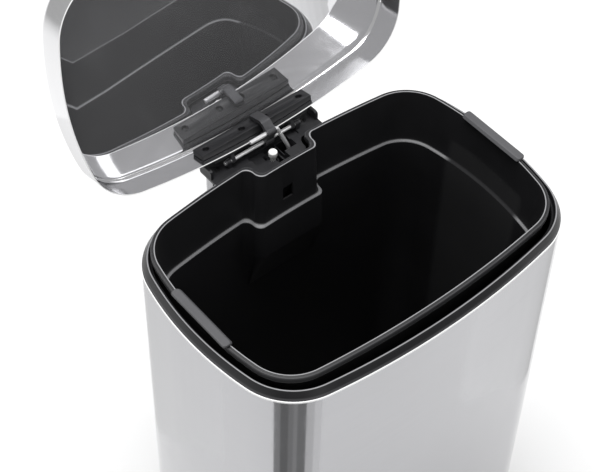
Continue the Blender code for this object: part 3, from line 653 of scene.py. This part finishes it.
# ---- outlines ---------------------------------------------------------------------------------
@dataclass(frozen=True)
class Notch:
    """A step in the rear side of an outline, with an S-shaped shoulder on either side.

    On each side the flat middle reaches as far as `flat`, and the shoulder ends at `end`.
    """

    depth: float = 0.0200
    flat_left: float = 0.0270
    flat_right: float = 0.0340
    end_left: float = 0.0450
    end_right: float = 0.0490

    def limits(self, side: int) -> tuple[float, float]:
        """Where the flat middle and the shoulder end.

        Args:
            side: -1 for the left side, 1 for the right.

        Returns:
            Both distances from the middle.
        """
        if side < 0:
            return self.flat_left, self.end_left
        return self.flat_right, self.end_right

    def places(self, side: int, shift: float, steps: int = 12) -> list[float]:
        """Where the points of one shoulder stand, as two quarter arcs.

        Args:
            side: -1 for the left shoulder, 1 for the right.
            shift: how far the shoulder is moved inwards.
            steps: how many points each arc has.

        Returns:
            Distances from the middle, from the shoulder's end inwards.
        """
        flat, end = self.limits(side)
        half = (end - flat) / 2
        first = [sin(pi / 2 * i / steps) for i in range(steps + 1)]
        second = [2 - sin(pi / 2 * (steps - i) / steps) for i in range(1, steps + 1)]
        return [end - shift - half * t for t in first + second]

    def share(self, x: float, shift: float) -> float:
        """How much of the notch's depth holds at a place along the side.

        Args:
            x: the place, from the middle.
            shift: how far the shoulders are moved inwards.

        Returns:
            1 in the flat middle, 0 past the shoulders.
        """
        flat, end = self.limits(1 if x > 0 else -1)
        reach = min(max(2 * (end - shift - abs(x)) / (end - flat) - 1, -1.0), 1.0)
        drop = sqrt(max(1 - (1 - abs(reach)) ** 2, 0.0))
        return 0.5 + 0.5 * (drop if reach > 0 else -drop)


@dataclass(frozen=True)
class Outline:
    """A rounded rectangle seen from above, whose long and short sides bow out.

    The reach is where the middle of a corner's arc stands, the bow how far a side stands out
    between its corners, and the radius that of the corners. All outlines have points where the
    hinge housing's gap ends, at `saddle`, and just outside the notch, at `beside_notch`.
    """

    reach_x: float
    reach_y: float
    bow_long: float
    bow_short: float
    radius: float
    centre_y: float
    saddle: float = SADDLE_HALF
    beside_notch: float = 0.058
    side_steps: int = 12
    corner_steps: int = 28
    notch: Notch = field(default_factory=Notch)

    def _half_side(self, end_x: float, shift: float, side: int) -> list[float]:
        """Places along half a long side.

        Args:
            end_x: where the corner's arc begins.
            shift: how far the notch's shoulder is moved inwards.
            side: -1 for the left half, 1 for the right.

        Returns:
            Distances from the middle, from the side's end to near its middle.
        """
        steps = self.side_steps
        outer = [end_x + (self.saddle - end_x) * i / steps for i in range(steps)]
        between = [self.saddle + (self.beside_notch - self.saddle) * i / 3 for i in range(3)]
        flat = self.notch.limits(side)[0]
        inner = [flat * k for k in (0.7, 0.5, 0.25)]
        return outer + between + self.notch.places(side, shift) + inner

    def _quarter(self, radius: float, shift: float, side: int) -> list[tuple[float, float]]:
        """A quarter of the outline.

        Args:
            radius: the corner's radius.
            shift: how far the notch's shoulder is moved inwards.
            side: -1 for the left half, 1 for the right.

        Returns:
            Points from the middle of a short side to near the middle of a long one.
        """
        long_radius = (self.reach_x ** 2 + self.bow_long ** 2) / (2 * self.bow_long)
        short_radius = (self.reach_y ** 2 + self.bow_short ** 2) / (2 * self.bow_short)
        long_half, short_half = asin(self.reach_x / long_radius), asin(self.reach_y / short_radius)
        short_middle = self.reach_x + self.bow_short - short_radius
        long_middle = self.reach_y + self.bow_long - long_radius
        points = []
        for i in range(self.side_steps):
            a = short_half * i / self.side_steps
            points.append((short_middle + (short_radius + radius) * cos(a),
                           (short_radius + radius) * sin(a)))
        for i in range(self.corner_steps):
            a = short_half + (pi / 2 - long_half - short_half) * i / self.corner_steps
            points.append((self.reach_x + radius * cos(a), self.reach_y + radius * sin(a)))
        for x in self._half_side((long_radius + radius) * sin(long_half), shift, side):
            points.append((x, long_middle + sqrt((long_radius + radius) ** 2 - x ** 2)))
        return points

    def ring(self, inset: float, z: float, depth: float = 0.0) -> list[Point]:
        """One level ring of the outline.

        Args:
            inset: how far inside the outline the ring runs.
            z: its height.
            depth: how far the notch steps in at this height.

        Returns:
            The ring's points, anticlockwise.
        """
        radius = self.radius - inset
        shift = -inset
        right, left = self._quarter(radius, shift, 1), self._quarter(radius, shift, -1)
        apex = (0.0, self.reach_y + self.bow_long + radius)
        half = right + [apex] + [(-x, y) for x, y in left[1:]][::-1]
        rear = [(x, y - depth * self.notch.share(x, shift)) for x, y in half]
        return [(x, y + self.centre_y, z) for x, y in rear + [(-x, -y) for x, y in half]]


def loft(rings: Sequence[Sequence[Point]], closed: bool = False,
         capped: bool = True) -> bmesh.types.BMesh:
    """Draw a wall from ring to ring.

    Args:
        rings: the rings, each with the same number of points.
        closed: joins the last ring to the first.
        capped: closes the first and last rings with a face.

    Returns:
        The wall as a bmesh.
    """
    bm = bmesh.new()
    first = bmesh.ops.create_circle(bm, segments=len(rings[0]), radius=1.0)["verts"]
    for vert, place in zip(first, rings[0]):
        vert.co = place
    ring, edges = list(first), list(bm.edges)
    for places in rings[1:]:
        grown = bmesh.ops.extrude_edge_only(bm, edges=edges)["geom"]
        fresh = {v for v in grown if isinstance(v, bmesh.types.BMVert)}
        edges = [e for e in grown if isinstance(e, bmesh.types.BMEdge)]
        ring = [next(e.other_vert(v) for e in v.link_edges if e.other_vert(v) in fresh)
                for v in ring]
        for vert, place in zip(ring, places):
            vert.co = place
    if closed:
        ends = [e for e in bm.edges if len(e.link_faces) == 1]
        bmesh.ops.bridge_loops(bm, edges=ends)
    elif capped:
        bmesh.ops.contextual_create(bm, geom=first)
        bmesh.ops.contextual_create(bm, geom=ring)
    bmesh.ops.recalc_face_normals(bm, faces=bm.faces)
    return bm


def rounded(profile: Profile, radius: float, steps: int = 3) -> list[tuple[float, float]]:
    """Turn the inner corners of a profile into short arcs.

    Args:
        profile: the profile's points.
        radius: how far each arc reaches along its sides, where they are long enough.
        steps: how many steps each arc has.

    Returns:
        The profile with its arcs.
    """
    result = [profile[0]]
    for before, corner, after in zip(profile, profile[1:], profile[2:]):
        corner = Vector(corner)
        back, ahead = Vector(before) - corner, Vector(after) - corner
        reach = min(radius, back.length * 0.48, ahead.length * 0.48)
        start, end = corner + back.normalized() * reach, corner + ahead.normalized() * reach
        for i in range(steps + 1):
            t = i / steps
            result.append(tuple(start * (1 - t) ** 2 + corner * 2 * t * (1 - t) + end * t ** 2))
    return result + [profile[-1]]


# ---- the can's sub-assemblies -----------------------------------------------------------------
@dataclass
class SteelBody:
    """The wrapped steel wall, with a rolled top edge and a gap at the back for the hinge.

    The sheet is its thickness, the roll the radius of its top edge, and everything further back
    than `back` belongs to its rear side.
    """

    outline: Outline = Outline(0.1290, 0.0616, 0.0107, 0.0066, 0.0694, 0.0)
    top: float = STEEL_TOP
    bottom: float = 0.0545
    sheet: float = 0.0010
    saddle_floor: float = 0.5797
    roll: float = 0.0009
    back: float = 0.1

    def build(self) -> None:
        """Build the wall as one sheet and give it its thickness."""
        levels = [self.bottom, 0.09, 0.16, 0.24, 0.32, 0.40, 0.48, 0.54, self.saddle_floor,
                  0.590, 0.596]
        profile = [(0.0, z) for z in levels] + [(0.0, self.top - self.roll)]
        profile += [(self.roll * (1 - cos(a)), self.top - self.roll * (1 - sin(a)))
                    for a in (radians(k * 22.5) for k in range(1, 5))]
        bm = loft([self.outline.ring(inset, z) for inset, z in profile], capped=False)
        open_part = [face for face in bm.faces if self.in_gap(face.calc_center_median())]
        bmesh.ops.delete(bm, geom=open_part, context="FACES")
        piece = make_piece("steel_body", bm, Finish.WALL_STEEL, ["body_shell"], "body", 60.0)
        wall = piece.modifiers.new("sheet", "SOLIDIFY")
        wall.thickness = self.sheet
        wall.offset = -1.0

    def in_gap(self, place: Vector) -> bool:
        """Whether a place on the wall lies in the gap for the hinge."""
        behind = place.y > self.back and place.z > self.saddle_floor
        return behind and abs(place.x) < self.outline.saddle


@dataclass
class TopRim:
    """The black ring inside the steel edge: an outer slope, a raised bead and an inner ledge."""

    outline: Outline = SteelBody.outline
    profile: Profile = (
        (0.0013, -0.0100), (0.0013, 0.0004), (0.0048, 0.0076), (0.0058, 0.0094), (0.0070, 0.0096),
        (0.0080, 0.0084), (0.0086, 0.0042), (0.0106, 0.0036), (0.0112, 0.0030), (0.0112, -0.0140),
        (0.0096, -0.0140), (0.0096, 0.0016), (0.0070, 0.0018), (0.0052, 0.0036), (0.0031, -0.0006),
        (0.0031, -0.0100), (0.0013, -0.0100))
    corner: float = 0.0012
    gap_depth: tuple[float, float] = (0.11, 0.17)
    gap_rise: float = 0.03

    def build(self) -> None:
        """Build the ring, cut open where the hinge housing stands."""
        points = rounded(self.profile, self.corner)[:-1]
        bm = loft([self.outline.ring(inset, STEEL_TOP + z) for inset, z in points], closed=True)
        piece = make_piece("top_rim_moulding", bm, Finish.RIM, ["top_rim"], "body", 50.0)
        half, (near, far) = self.outline.saddle, self.gap_depth
        carve(piece, [((-half, near, STEEL_TOP - self.gap_rise),
                       (half, far, STEEL_TOP + self.gap_rise))])


@dataclass
class Bucket:
    """The lift-out bucket with its turned-down lip, ledge, notch and two grips.

    Profiles are insets and heights from the steel's upper edge. The notch fades out between two
    such heights, going down. A gap for fingers is cut beside each grip, and a hole in the notch.
    The skirt is the outside of the lip, between two heights. The corners of a grip that stand
    further in than `grip_face` and above `grip_crest` move outwards by `grip_slope`.
    """

    outline: Outline = Outline(0.1324, 0.0655, 0.0085, 0.0066, 0.0480, 0.0035)
    fade_top: float = -0.1000
    fade_bottom: float = -0.1600
    outer: Profile = (
        (0.0100, -0.5350), (0.0052, -0.1600), (0.0046, -0.1000), (0.0040, -0.0548),
        (0.0, -0.0503), (-0.0020, 0.0150), (-0.0034, 0.0152), (-0.0034, 0.0100),
        (-0.0045, 0.0100), (-0.0045, 0.0158), (-0.0038, 0.0166))
    inner: Profile = (
        (-0.0014, 0.0166), (-0.0010, 0.0175), (0.0, 0.0172), (0.0020, -0.0513), (0.0058, -0.0529),
        (0.0066, -0.1000), (0.0072, -0.1600), (0.0120, -0.5330))
    corner: float = 0.0010
    gap_middle: float = 0.19390
    gap_half: float = 0.0051
    gap_length: tuple[float, float] = (-0.0380, 0.0400)
    gap_height: tuple[float, float] = (0.0050, 0.0154)
    hole: tuple[Point, Point] = ((-0.0060, 0.0950, STEEL_TOP - 0.0340),
                                 (0.0065, 0.1200, STEEL_TOP - 0.0165))
    skirt: tuple[float, float] = (0.0098, 0.0166)
    grip_face: float = 0.1870
    grip_crest: float = 0.0195
    grip_slope: float = 0.0028

    def build(self) -> None:
        """Build the bucket and finish its grips."""
        rings = []
        for inset, z in rounded(self.outer + self.inner, self.corner):
            t = min(max((z - self.fade_bottom) / (self.fade_top - self.fade_bottom), 0.0), 1.0)
            depth = self.outline.notch.depth * t * t * (3 - 2 * t)
            rings.append(self.outline.ring(inset, STEEL_TOP + z, depth))
        piece = make_piece("bucket", loft(rings), Finish.BUCKET, ["inner_bucket"], "body", 50.0)
        carve(piece, [self.finger_gap(-1), self.finger_gap(1), self.hole])
        self.paint_light_on_skirt(piece)
        for side in ("left", "right"):
            refine(f"bucket_grip_{side}", Finish.GRIP, 0.0009, self.slope_grip)

    def finger_gap(self, side: int) -> tuple[Point, Point]:
        """The gap for fingers beside a grip.

        Args:
            side: -1 for the left grip, 1 for the right.

        Returns:
            The gap's low and high corners.
        """
        middle = side * self.gap_middle
        return tuple((middle + reach, y, STEEL_TOP + z) for reach, y, z in
                     zip((-self.gap_half, self.gap_half), self.gap_length, self.gap_height))

    def paint_light_on_skirt(self, piece: bpy.types.Object) -> None:
        """Paint the outside of the lip with a lighter copy of the bucket plastic, as painted light.

        Args:
            piece: the bucket.
        """
        # painted light: the lighter copy of the bucket plastic
        piece.data.materials.append(Finish.SKIRT.material())
        low, high = self.skirt
        for face in piece.data.polygons:
            outward = face.normal.x * face.center.x + face.normal.y * face.center.y
            if STEEL_TOP + low < face.center.z < STEEL_TOP + high and outward > 0.0:
                face.material_index = 1

    def slope_grip(self, bm: bmesh.types.BMesh) -> None:
        """Slope a grip's inner face, so that its top is narrower than its foot.

        Args:
            bm: the grip's mesh.
        """
        for vert in bm.verts:
            if abs(vert.co.x) < self.grip_face and vert.co.z > STEEL_TOP + self.grip_crest:
                vert.co.x += self.grip_slope if vert.co.x > 0 else -self.grip_slope


@dataclass
class Lid:
    """The open lid: drawn steel shell, polished inner plate and the bar that carries its hinge.

    Sizes are those of the closed lid, and `pose` turns it open. The height and the plate's rise
    are measured from the lip.
    """

    outline: Outline = Outline(0.1346, 0.0612, 0.0117, 0.0076, 0.0605, 0.0019)
    lip: float = LID_LIP
    height: float = 0.0340
    corner: float = 0.0080
    sheet: float = 0.0010
    plate_rise: float = 0.0305
    arm_notch: tuple[Point, Point] = ((-0.0005, 0.1250, LID_LIP - 0.001),
                                      (0.0135, 0.1400, LID_LIP + 0.0045))

    def pose(self) -> Matrix:
        """The turn about the hinge from closed to open."""
        pivot = Matrix.Translation((0.0, *LID_HINGE))
        return pivot @ Matrix.Rotation(-radians(LID_OPENED), 4, "X") @ pivot.inverted()

    def bend(self, radius: float, steps: int = 12) -> list[tuple[float, float]]:
        """The section of the rounded edge.

        Args:
            radius: the distance from the middle of the rounding.
            steps: how many steps the quarter turn has.

        Returns:
            Insets and heights from the lip, going up.
        """
        angles = [radians(90 * i / steps) for i in range(steps + 1)]
        return [(self.corner - radius * cos(a), self.height - self.corner + radius * sin(a))
                for a in angles]

    def build_shell(self) -> None:
        """Build the drawn shell with its rounded edge, and cut the arm's notch."""
        inner = [(self.sheet, 0.0002), (self.sheet, 0.012)] + self.bend(self.corner - self.sheet)
        outer = [(self.sheet * 0.5, 0.0), (0.0001, 0.0003), (0.0, 0.012)] + self.bend(self.corner)
        rings = [self.outline.ring(inset, self.lip + z) for inset, z in inner[::-1] + outer]
        bm = loft(rings)
        bmesh.ops.transform(bm, matrix=self.pose(), verts=bm.verts)
        piece = make_piece("lid_steel_shell", bm, Finish.LID_STEEL, ["lid_shell"], "lid", 50.0)
        carve(piece, [self.arm_notch], self.pose())

    def build_plate(self) -> None:
        """Build the flat polished plate, with a rolled border that meets the wall."""
        low = self.lip + self.plate_rise
        levels = ((0.0040, low + 0.0008), (0.0040, low + 0.0002), (0.0046, low))
        bm = loft([self.outline.ring(inset, z) for inset, z in levels])
        bmesh.ops.transform(bm, matrix=self.pose(), verts=bm.verts)
        make_piece("lid_polished_plate", bm, Finish.MIRROR, ["lid_inner_plate"], "lid", 40.0)

    def build(self) -> None:
        """Build the lid's sheet metal and finish what is fixed to it."""
        self.build_shell()
        self.build_plate()
        refine("hinge_block", Finish.HOUSING, 0.0006)
        refine("hinge_bracket", Finish.DARK, 0.0003)
        refine("lifter_arm", Finish.DARK, 0.0005)
        refine("lever_pin", Finish.BRIGHT, 0.0003)
        for i in range(1, 5):
            refine(f"lid_screw_{i}", Finish.HOLE, 0.00015)


@dataclass
class HingeHousing:
    """The black moulding behind the bucket, the damper in it and the hinge pin through it."""

    moulding_edge: float = 0.0005
    head_edge: float = 0.0006
    hardware_edge: float = 0.0002
    screw_edge: float = 0.00015

    def build(self) -> None:
        """Finish the housing and its hardware."""
        refine("hinge_housing", Finish.HOUSING, self.moulding_edge)
        refine("damper_body", Finish.BLACK, self.hardware_edge)
        refine("damper_plunger", Finish.WHITE, self.head_edge)
        refine("hinge_pin", Finish.BRIGHT, self.hardware_edge)
        for side in ("left", "right"):
            refine(f"pin_clip_{side}", Finish.DARK, self.hardware_edge)
        for i in (1, 2):
            refine(f"housing_screw_{i}", Finish.HOLE, self.screw_edge)


@dataclass
class BaseAndBack:
    """The base tray with its feet and screws, and the steel cover up the back."""

    tray_edge: float = 0.0006
    foot_edge: float = 0.0004
    cover_edge: float = 0.0002
    screw_edge: float = 0.00015

    def build(self) -> None:
        """Finish every piece of the base and the back."""
        refine("base_tray", Finish.BLACK, self.tray_edge)
        refine("rear_spine", Finish.BODY_STEEL, self.cover_edge)
        for i in range(1, 5):
            refine(f"bucket_post_{i}", Finish.BLACK, self.foot_edge)
            refine(f"rubber_foot_{i}", Finish.RUBBER, self.foot_edge)
            refine(f"base_screw_{i}", Finish.ZINC, self.screw_edge)
        for end in ("top", "bottom"):
            refine(f"spine_screw_{end}", Finish.ZINC, self.cover_edge)


@dataclass
class PedalLinkage:
    """The pedal, its lever and axle, and the rod that lifts the lid."""

    edge: float = 0.0004
    turned_edge: float = 0.0003
    fine_edge: float = 0.0002

    def build(self) -> None:
        """Finish every piece of the linkage."""
        refine("pedal_lever", Finish.ZINC, self.edge)
        refine("pedal_plate", Finish.BODY_STEEL, self.edge)
        refine("pedal_pad", Finish.RUBBER, self.edge)
        refine("lever_axle", Finish.BRIGHT, self.turned_edge)
        refine("lift_rod", Finish.BRIGHT, self.fine_edge)
        refine("rod_shoe", Finish.BLACK, self.edge)
        refine("rod_guide", Finish.BLACK, self.edge)
        for i in (1, 2):
            refine(f"pedal_rivet_{i}", Finish.ZINC, self.turned_edge)
        for side in ("left", "right"):
            refine(f"axle_bracket_{side}", Finish.BLACK, self.edge)
            refine(f"axle_ring_{side}", Finish.ZINC, self.fine_edge)


# ---- the studio -------------------------------------------------------------------------------
@dataclass(frozen=True)
class Fan:
    """Upright cards on an arc that only reflections see, which shape the streaks in the steel.

    Each band is the azimuths in degrees where a card starts and ends, and its brightness.
    """

    name: str
    foot: tuple[float, float]
    distance: float
    bands: tuple[tuple[float, float, float], ...]
    heights: tuple[float, float] = (0.0, 0.62)

    def build(self) -> None:
        """Stand the cards up, one for each band of azimuths and its brightness."""
        for number, (start, end, glow) in enumerate(self.bands, 1):
            bm = bmesh.new()
            ends = []
            for azimuth in (start, end):
                a = radians(azimuth)
                place = (self.foot[0] + sin(a) * self.distance,
                         self.foot[1] - cos(a) * self.distance, self.heights[0])
                ends.append(bm.verts.new(place))
            edge = bm.edges.new(ends)
            grown = bmesh.ops.extrude_edge_only(bm, edges=[edge])["geom"]
            rise = (0.0, 0.0, self.heights[1] - self.heights[0])
            tops = [v for v in grown if isinstance(v, bmesh.types.BMVert)]
            bmesh.ops.translate(bm, vec=rise, verts=tops)
            name = f"{self.name}_{number}"
            only_mirrored(stage_piece(name, bm, plain_paint(name, (0.01,) * 3, 1.0, glow)))

    @staticmethod
    def fade(start: tuple[float, float], end: tuple[float, float],
             steps: int) -> tuple[tuple[float, float, float], ...]:
        """Narrow bands whose brightness runs evenly along the arc.

        Args:
            start: the azimuth and brightness where they start.
            end: the azimuth and brightness where they end.
            steps: how many bands there are.

        Returns:
            The bands.
        """
        at = [(start[0] + (end[0] - start[0]) * i / steps) for i in range(steps + 1)]
        glow = [start[1] + (end[1] - start[1]) * (i + 0.5) / steps for i in range(steps)]
        return tuple((a, b, g) for a, b, g in zip(at, at[1:], glow))


def plain_paint(name: str, colour: Colour, roughness: float,
                glow: float = 0.0) -> bpy.types.Material:
    """A matt paint with a faint mottle, for what stands round the can.

    Args:
        name: the material's name.
        colour: its colour.
        roughness: its roughness.
        glow: how brightly it glows white.

    Returns:
        The material.
    """
    paint = Paint(name)
    mottle = paint.noise(STAGE_MOTTLE, 2.0)
    base = paint.blend(mottle, tuple(c * 0.97 for c in colour), colour)
    return paint.finish(Base_Color=base, Roughness=roughness, Emission_Color=(1.0, 1.0, 1.0),
                        Emission_Strength=glow)


def stage_piece(name: str, bm: bmesh.types.BMesh, material: bpy.types.Material) -> bpy.types.Object:
    """Turn a bmesh into something that isn't part of the can.

    Args:
        name: its name.
        bm: its shape, which is freed.
        material: its material.

    Returns:
        The new object.
    """
    mesh = bpy.data.meshes.new(name)
    bm.to_mesh(mesh)
    bm.free()
    mesh.materials.append(material)
    made = bpy.data.objects.new(name, mesh)
    bpy.context.scene.collection.objects.link(made)
    return made


def only_mirrored(made: bpy.types.Object) -> None:
    """Hide something round the can from everything but reflections."""
    made.visible_camera = made.visible_diffuse = made.visible_shadow = False


@dataclass(frozen=True)
class SoftBox:
    """A square area light aimed at a point."""

    name: str
    place: Point
    aim: Point
    size: float
    power: float

    def build(self) -> None:
        """Hang the light."""
        light = bpy.data.lights.new(self.name, "AREA")
        light.size = self.size
        light.energy = self.power
        lamp = bpy.data.objects.new(self.name, light)
        lamp.location = self.place
        line = Vector(self.aim) - Vector(self.place)
        lamp.rotation_euler = line.to_track_quat("-Z", "Y").to_euler()
        bpy.context.scene.collection.objects.link(lamp)


@dataclass
class Studio:
    """The pale floor, soft light and camera.

    The camera's angles are in radians, and its azimuth runs from the front.
    """

    azimuth: float = -0.7139
    elevation: float = 0.8672
    roll: float = 0.0307
    place: Point = (-0.7121, -0.7510, 1.8165)
    lens: float = 94.75
    sensor: float = 36.0
    floor_half: float = 9.0
    cloth_middle: Point = (0.9, -3.75, 0.002)
    cloth_half: tuple[float, float] = (3.2, 2.50)
    world: float = 0.45
    boxes: tuple[SoftBox, ...] = (
        SoftBox("overhead", (-0.3, 0.5, 5.0), (-0.1, 0.1, 0.0), 3.0, 240.0),
        SoftBox("front_right", (1.75, -1.25, 2.15), (0.0, 0.15, 0.7), 1.2, 7.5),
    )

    def fans(self) -> list[Fan]:
        """The fans of cards round the can.

        Returns:
            The fans for the near corner, the left side and the right end of the front.
        """
        corner = ((-64.0, -55.0, 0.34), (-55.0, -44.0, 0.19), (-44.0, -37.0, 0.28),
                  (-37.0, -31.5, 0.36), (-31.5, -19.5, 0.25), (-19.5, -8.0, 0.78),
                  (-8.0, 3.0, 0.98))
        left = (Fan.fade((-178.0, 0.80), (-150.0, 1.03), 8)
                + Fan.fade((-150.0, 1.03), (-114.0, 1.14), 6))
        right = Fan.fade((30.0, 1.17), (58.0, 1.04), 5) + Fan.fade((58.0, 1.02), (84.0, 0.66), 8)
        side, front = SteelBody.outline.reach_x, -SteelBody.outline.reach_y
        return [Fan("corner_card", (-side, front), 0.25, corner),
                Fan("left_card", (-side, 0.0), 0.32, left),
                Fan("right_card", (side, front), 0.30, right)]

    def build_floor(self) -> None:
        """Lay the floor, and the dark cloth on it that only reflections see."""
        bm = bmesh.new()
        bmesh.ops.create_grid(bm, x_segments=1, y_segments=1, size=self.floor_half)
        stage_piece("floor", bm, plain_paint("pale_floor", (0.88, 0.88, 0.88), 0.7))
        bm = bmesh.new()
        move = Matrix.Translation(self.cloth_middle) @ Matrix.Diagonal((*self.cloth_half, 1.0, 1.0))
        bmesh.ops.create_grid(bm, x_segments=1, y_segments=1, size=1.0, matrix=move)
        black = plain_paint("dark_cloth", (0.014, 0.014, 0.015), 0.9)
        only_mirrored(stage_piece("dark_cloth", bm, black))

    def build_world(self) -> None:
        """Fill the room with even white light."""
        world = bpy.data.worlds.new("studio")
        world.use_nodes = True
        back = world.node_tree.nodes["Background"]
        back.inputs["Color"].default_value = (1.0, 1.0, 1.0, 1.0)
        back.inputs["Strength"].default_value = self.world
        bpy.context.scene.world = world
        bpy.context.scene.view_settings.view_transform = "Standard"

    def build_camera(self) -> None:
        """Set up the camera from its angles and place."""
        level_share = cos(self.elevation)
        back = Vector((sin(self.azimuth) * level_share, -cos(self.azimuth) * level_share,
                       sin(self.elevation)))
        level = Vector((cos(self.azimuth), sin(self.azimuth), 0.0))
        up = back.cross(level)
        right = level * cos(self.roll) + up * sin(self.roll)
        top = up * cos(self.roll) - level * sin(self.roll)
        data = bpy.data.cameras.new("camera")
        data.sensor_width = self.sensor
        data.lens = self.lens
        camera = bpy.data.objects.new("camera", data)
        matrix = Matrix((right, top, back)).transposed().to_4x4()
        matrix.translation = Vector(self.place)
        camera.matrix_world = matrix
        bpy.context.scene.collection.objects.link(camera)
        bpy.context.scene.camera = camera

    def build(self) -> None:
        """Set up the whole studio."""
        self.build_camera()
        self.build_floor()
        self.build_world()
        for fan in self.fans():
            fan.build()
        for box in self.boxes:
            box.build()


def main() -> None:
    """Build the studio and every sub-assembly."""
    logging.basicConfig(level=logging.INFO, format="%(message)s")
    Studio().build()
    for part in (SteelBody(), TopRim(), Bucket(), Lid(), HingeHousing(), BaseAndBack(),
                 PedalLinkage()):
        LOG.info("building %s", type(part).__name__)
        part.build()
    bpy.context.view_layer.update()


if __name__ == "__main__":
    main()
